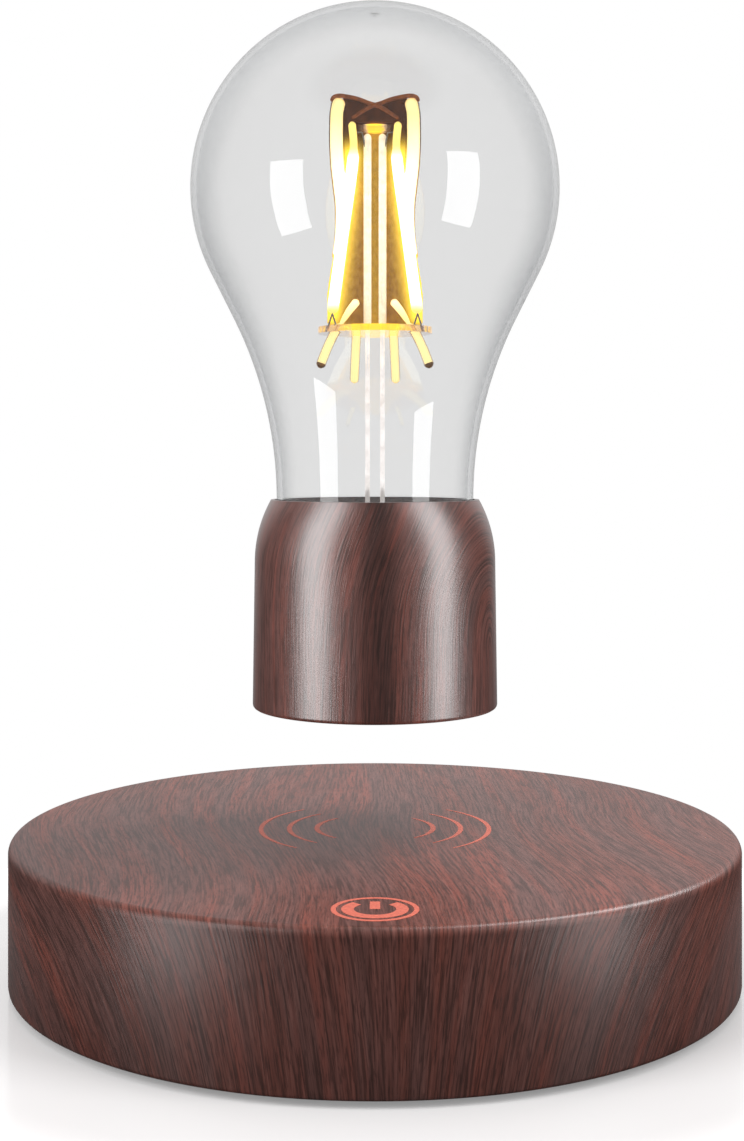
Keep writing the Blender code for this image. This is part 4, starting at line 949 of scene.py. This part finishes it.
# %% Finishes for the CAD parts
CAD_FINISHES = (
    # name, two tones, size of the pattern and depth of the relief in mm, roughness, metallic, nodes
    # Moulded plastic and rubber look dull, with the fine grain of a spark-eroded mould.
    ("abs_black_spark_textured", "#1C1B1B", "#262525", 0.3, 0.04, 0.5, 0, "base_bottom_cover"),
    ("abs_brown_spark_textured", "#2A1D1A", "#352521", 0.3, 0.04, 0.5, 0, "socket_base_plate"),
    ("rubber_black_moulded", "#161616", "#212121", 0.4, 0.03, 0.8, 0, "rubber_foot"),
    ("nylon_black_moulded", "#151515", "#1E1E1E", 0.4, 0.02, 0.42, 0, "dc_jack"),
    (
        "nylon_white_moulded", "#DAD7CF", "#E8E5DD", 0.5, 0.02, 0.45, 0,
        "coil_bobbin magnet_holder sensor_post",
    ),
    # Plated and drawn metals look bright and a little clouded. Wound wire shows as a fine relief.
    ("steel_zinc_plated", "#A9ABAE", "#C0C2C4", 0.6, 0, 0.28, 1, "cover_screw touch_spring"),
    ("brass_nickelled", "#C9B98F", "#DACBA0", 0.5, 0, 0.22, 1, "dc_jack_pin"),
    ("magnet_nickel_plated", "#9A9B9C", "#B6B7B8", 1.2, 0, 0.2, 1, "float_magnet"),
    ("steel_blued", "#5C5E61", "#6E7074", 1.0, 0, 0.4, 1, "yoke_plate coil_core"),
    ("aluminium_can_sleeved", "#AEB2B8", "#C5C8CC", 0.8, 0, 0.3, 1, "capacitor smoothing_capacitor"),
    (
        "copper_wire_enamelled", "#A4562F", "#C27040", 0.24, 0.05, 0.3, 1,
        "coil_winding transmitter_coil receiver_coil touch_pad",
    ),
    # Pressed and cast parts look like fine stone, and the boards like green lacquer.
    ("ferrite_sintered", "#2B2B2D", "#39393C", 0.5, 0.04, 0.55, 0, "power_inductor ring_magnet"),
    (
        "epoxy_black_moulded", "#18181A", "#222226", 0.4, 0.02, 0.4, 0,
        "microcontroller rectifier_chip hall_sensor",
    ),
    (
        "board_green_solder_mask", "#14502B", "#1C6638", 0.8, 0.02, 0.35, 0,
        "control_pcb sensor_pcb rectifier_pcb",
    ),
    ("ceramic_white_pressed", "#E4E0D6", "#F0ECE3", 0.7, 0.02, 0.35, 0, "neck_plug"),
)
# A CAD node that a new piece replaces has that piece's finish.
finishes = {
    "base_shell": base_film, "bulb_socket": socket_film, "glass_envelope": clear_glass,
    "light_guide": amber, "filament": phosphor, "stem_rod_left": rod_nickel,
    "stem_rod_right": rod_nickel, "lower_disc": disc_clear, "upper_disc": disc_painted_gold,
}
for name, first, second, size, relief, roughness, metallic, nodes in CAD_FINISHES:
    made = clouds(name, first, second, size, {"Roughness": roughness, "Metallic": metallic}, relief)
    finishes.update(dict.fromkeys(nodes.split(), made))
for name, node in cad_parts.items():
    for holder in node.material_slots:
        holder.material = finishes[name.rstrip("_0123456789")]
print("CAD nodes that still show", sorted(n for n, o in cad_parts.items() if not o.hide_render))

# %% [markdown]
# ## Studio
# The backdrop is white, and a small white floor keeps the lamp's shadow and fades out to it.
# The glass mirrors two window-shaped lamps, and everything else two tall softboxes in the same
# places, because the photograph shows short bright shapes on the glass but long sheens on the wood.
# An overhead softbox fills in, and a narrow one draws the light line along the base's edge.
# For reflections the room is dim in front and bright behind, so glass and film keep dark parts.

# %% World
FRONT_LEVEL, REAR_LEVEL = 0.05, 0.68
WORLD_FILL = 0.42
world = bpy.data.worlds.new("studio")
bpy.context.scene.world = world
world.use_nodes = True
sky = world.node_tree
sky.nodes.clear()
rays = add(sky, "LightPath").outputs
direction = add(sky, "TexCoord").outputs["Generated"]
ahead = add(sky, "VectorMath", {0: direction, 1: (0, 0.75, 0.65)}, operation="DOT_PRODUCT")
rearward = {"Value": ahead, "From Min": 0.45, "From Max": 0.85}
levels = {"To Min": FRONT_LEVEL, "To Max": REAR_LEVEL}
behind = add(sky, "MapRange", {**rearward, **levels}, **SMOOTH)
direct = {0: rays["Is Camera Ray"], 1: rays["Is Transmission Ray"]}
seen = add(sky, "Math", direct, operation="MAXIMUM")
mirrored = add(sky, "Math", {0: rays["Is Glossy Ray"], 1: behind}, operation="MULTIPLY")
fill = {0: rays["Is Diffuse Ray"], 1: WORLD_FILL, 2: mirrored}
filled = add(sky, "Math", fill, operation="MULTIPLY_ADD")
level = add(sky, "Math", {0: seen, 1: filled}, operation="MAXIMUM")
background = add(sky, "Background", {"Color": (1, 1, 1, 1), "Strength": level})
add(sky, "OutputWorld", {"Surface": background})

# %% Floor
FLOOR_RADIUS = 0.108
FADE_START, FADE_END = 0.078, 0.104
FLOOR_LIFT, EDGE_LIFT = 0.232, 0.75
# White laminate: it keeps the lamp's shadow, and its own light lifts its edge to white.
made, tree = start_material("laminate_white_gloss")
rays = add(tree, "LightPath").outputs
direct = {0: rays["Is Camera Ray"], 1: rays["Is Transmission Ray"]}
seen = add(tree, "Math", direct, operation="MAXIMUM")
place = add(tree, "TexCoord").outputs["Object"]
out = add(tree, "VectorMath", {0: place}, operation="LENGTH")
fade = {"Value": out, "From Min": FADE_START, "From Max": FADE_END}
rising = add(tree, "MapRange", {**fade, "To Min": FLOOR_LIFT, "To Max": EDGE_LIFT}, **SMOOTH)
lift = add(tree, "Math", {0: seen, 1: rising}, operation="MULTIPLY")
# In reflections the floor is dim, as the room in front is.
tones = {0: rays["Is Glossy Ray"], 6: linear("#C6C4C4"), 7: linear("#5A5858")}
colour = add(tree, "Mix", tones, data_type="RGBA")
surface = add(
    tree, "BsdfPrincipled",
    {
        "Base Color": colour, "Roughness": 0.12, "IOR": 1.4,
        "Emission Color": (1, 1, 1, 1), "Emission Strength": lift,
    },
)
# From below the floor is clear, so that the feet, screws and cover can be seen.
below = add(tree, "NewGeometry").outputs["Backfacing"]
clear = add(tree, "BsdfTransparent")
one_sided = add(tree, "MixShader", {0: below, 1: surface, 2: clear})
add(tree, "OutputMaterial", {"Surface": one_sided})
bm = bmesh.new()
bmesh.ops.create_circle(bm, cap_ends=True, segments=96, radius=FLOOR_RADIUS)
to_object("floor", bm, [made])

# %% Softboxes
def softbox(name, place, target, width, tall, level, mirrored=True):
    """An area light with a plain brightness level, turned to a target. Lengths are in metres."""
    data = bpy.data.lights.new(name, "AREA")
    data.shape = "RECTANGLE"
    data.size = width
    data.size_y = tall
    data.energy = level * math.pi * width * tall
    lamp = bpy.data.objects.new(name, data)
    bpy.context.scene.collection.objects.link(lamp)
    lamp.location = place
    lamp.rotation_euler = (Vector(target) - Vector(place)).to_track_quat("-Z", "Y").to_euler()
    lamp.visible_camera = False
    lamp.visible_transmission = False
    lamp.visible_glossy = mirrored
    print(name, "watts", round(data.energy, 2))
    return lamp


def lit_by(title, pieces, lamps):
    """Limits lamps to pieces."""
    group = bpy.data.collections.new(title)
    for piece in pieces:
        group.objects.link(piece)
    for lamp in lamps:
        lamp.light_linking.receiver_collection = group


WINDOW_LEVEL, STRIP_LEVEL = 6.0, 5.9
window_left = softbox("window_left", (-0.81, -0.59, -0.02), (0, 0, 0.1), 0.40, 0.70, WINDOW_LEVEL)
window_right = softbox("window_right", (0.81, -0.59, 0.06), (0, 0, 0.1), 0.38, 0.70, WINDOW_LEVEL)
strip_left = softbox("softbox_left", (-0.80, -0.50, 0.30), (0, 0, 0.05), 0.50, 1.7, STRIP_LEVEL)
strip_right = softbox("softbox_right", (0.88, -0.40, 0.30), (0, 0, 0.05), 0.46, 1.7, STRIP_LEVEL)
softbox("softbox_overhead", (0, 0.1, 0.95), (0, 0, 0.05), 1.1, 0.9, 1.5, mirrored=False)
rim_lamp = softbox("softbox_rim", (0.52, 0.24, 0.76), (0, 0, 0.03), 0.25, 0.7, 18.0)
others = [o for o in bpy.context.scene.objects if o.type == "MESH" and o is not bulb_glass]
lit_by("lit_by_windows", [bulb_glass], [window_left, window_right])
lit_by("lit_by_strips", others, [strip_left, strip_right])
lit_by("lit_by_rim_lamp", [base_case, marks], [rim_lamp])
# A lamp under the clear side of the floor shows the cover, and the floor casts no shadow in it.
under_lamp = softbox("softbox_underneath", (0, 0, -0.4), (0, 0, 0), 0.5, 0.5, 2.0, mirrored=False)
LOWER_PARTS = ("base_bottom", "rubber_foot", "cover_screw")
underside = [node for name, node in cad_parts.items() if name.startswith(LOWER_PARTS)]
lit_by("lit_from_below", underside, [under_lamp])
under_lamp.light_linking.blocker_collection = under_lamp.light_linking.receiver_collection

# %% [markdown]
# ## Camera
# The photograph joins two views: the bulb seen nearly level and the base from a little higher.
# A level camera with a vertical shift stands between them, at the height that fits the base best.

# %% Camera
PHOTO = (744, 1141)
HORIZON_ROW = 450
AXIS_COLUMN = 375
FOCAL_PIXELS = 1701
CAMERA_PLACE = mm(0, -296.3, 90.8)
camera_data = bpy.data.cameras.new("photo_camera")
camera_data.sensor_width = 36
camera_data.lens = 36 * FOCAL_PIXELS / PHOTO[1]
camera_data.shift_x = (PHOTO[0] / 2 - AXIS_COLUMN) / PHOTO[1]
camera_data.shift_y = (HORIZON_ROW - PHOTO[1] / 2) / PHOTO[1]
camera = bpy.data.objects.new("photo_camera", camera_data)
bpy.context.scene.collection.objects.link(camera)
camera.location = CAMERA_PLACE
camera.rotation_euler = (math.radians(90), 0, 0)
bpy.context.scene.camera = camera
bpy.context.scene.view_settings.view_transform = "Standard"
shifts = round(camera_data.shift_x, 4), round(camera_data.shift_y, 4)
print("lens", round(camera_data.lens, 2), "shift", shifts)
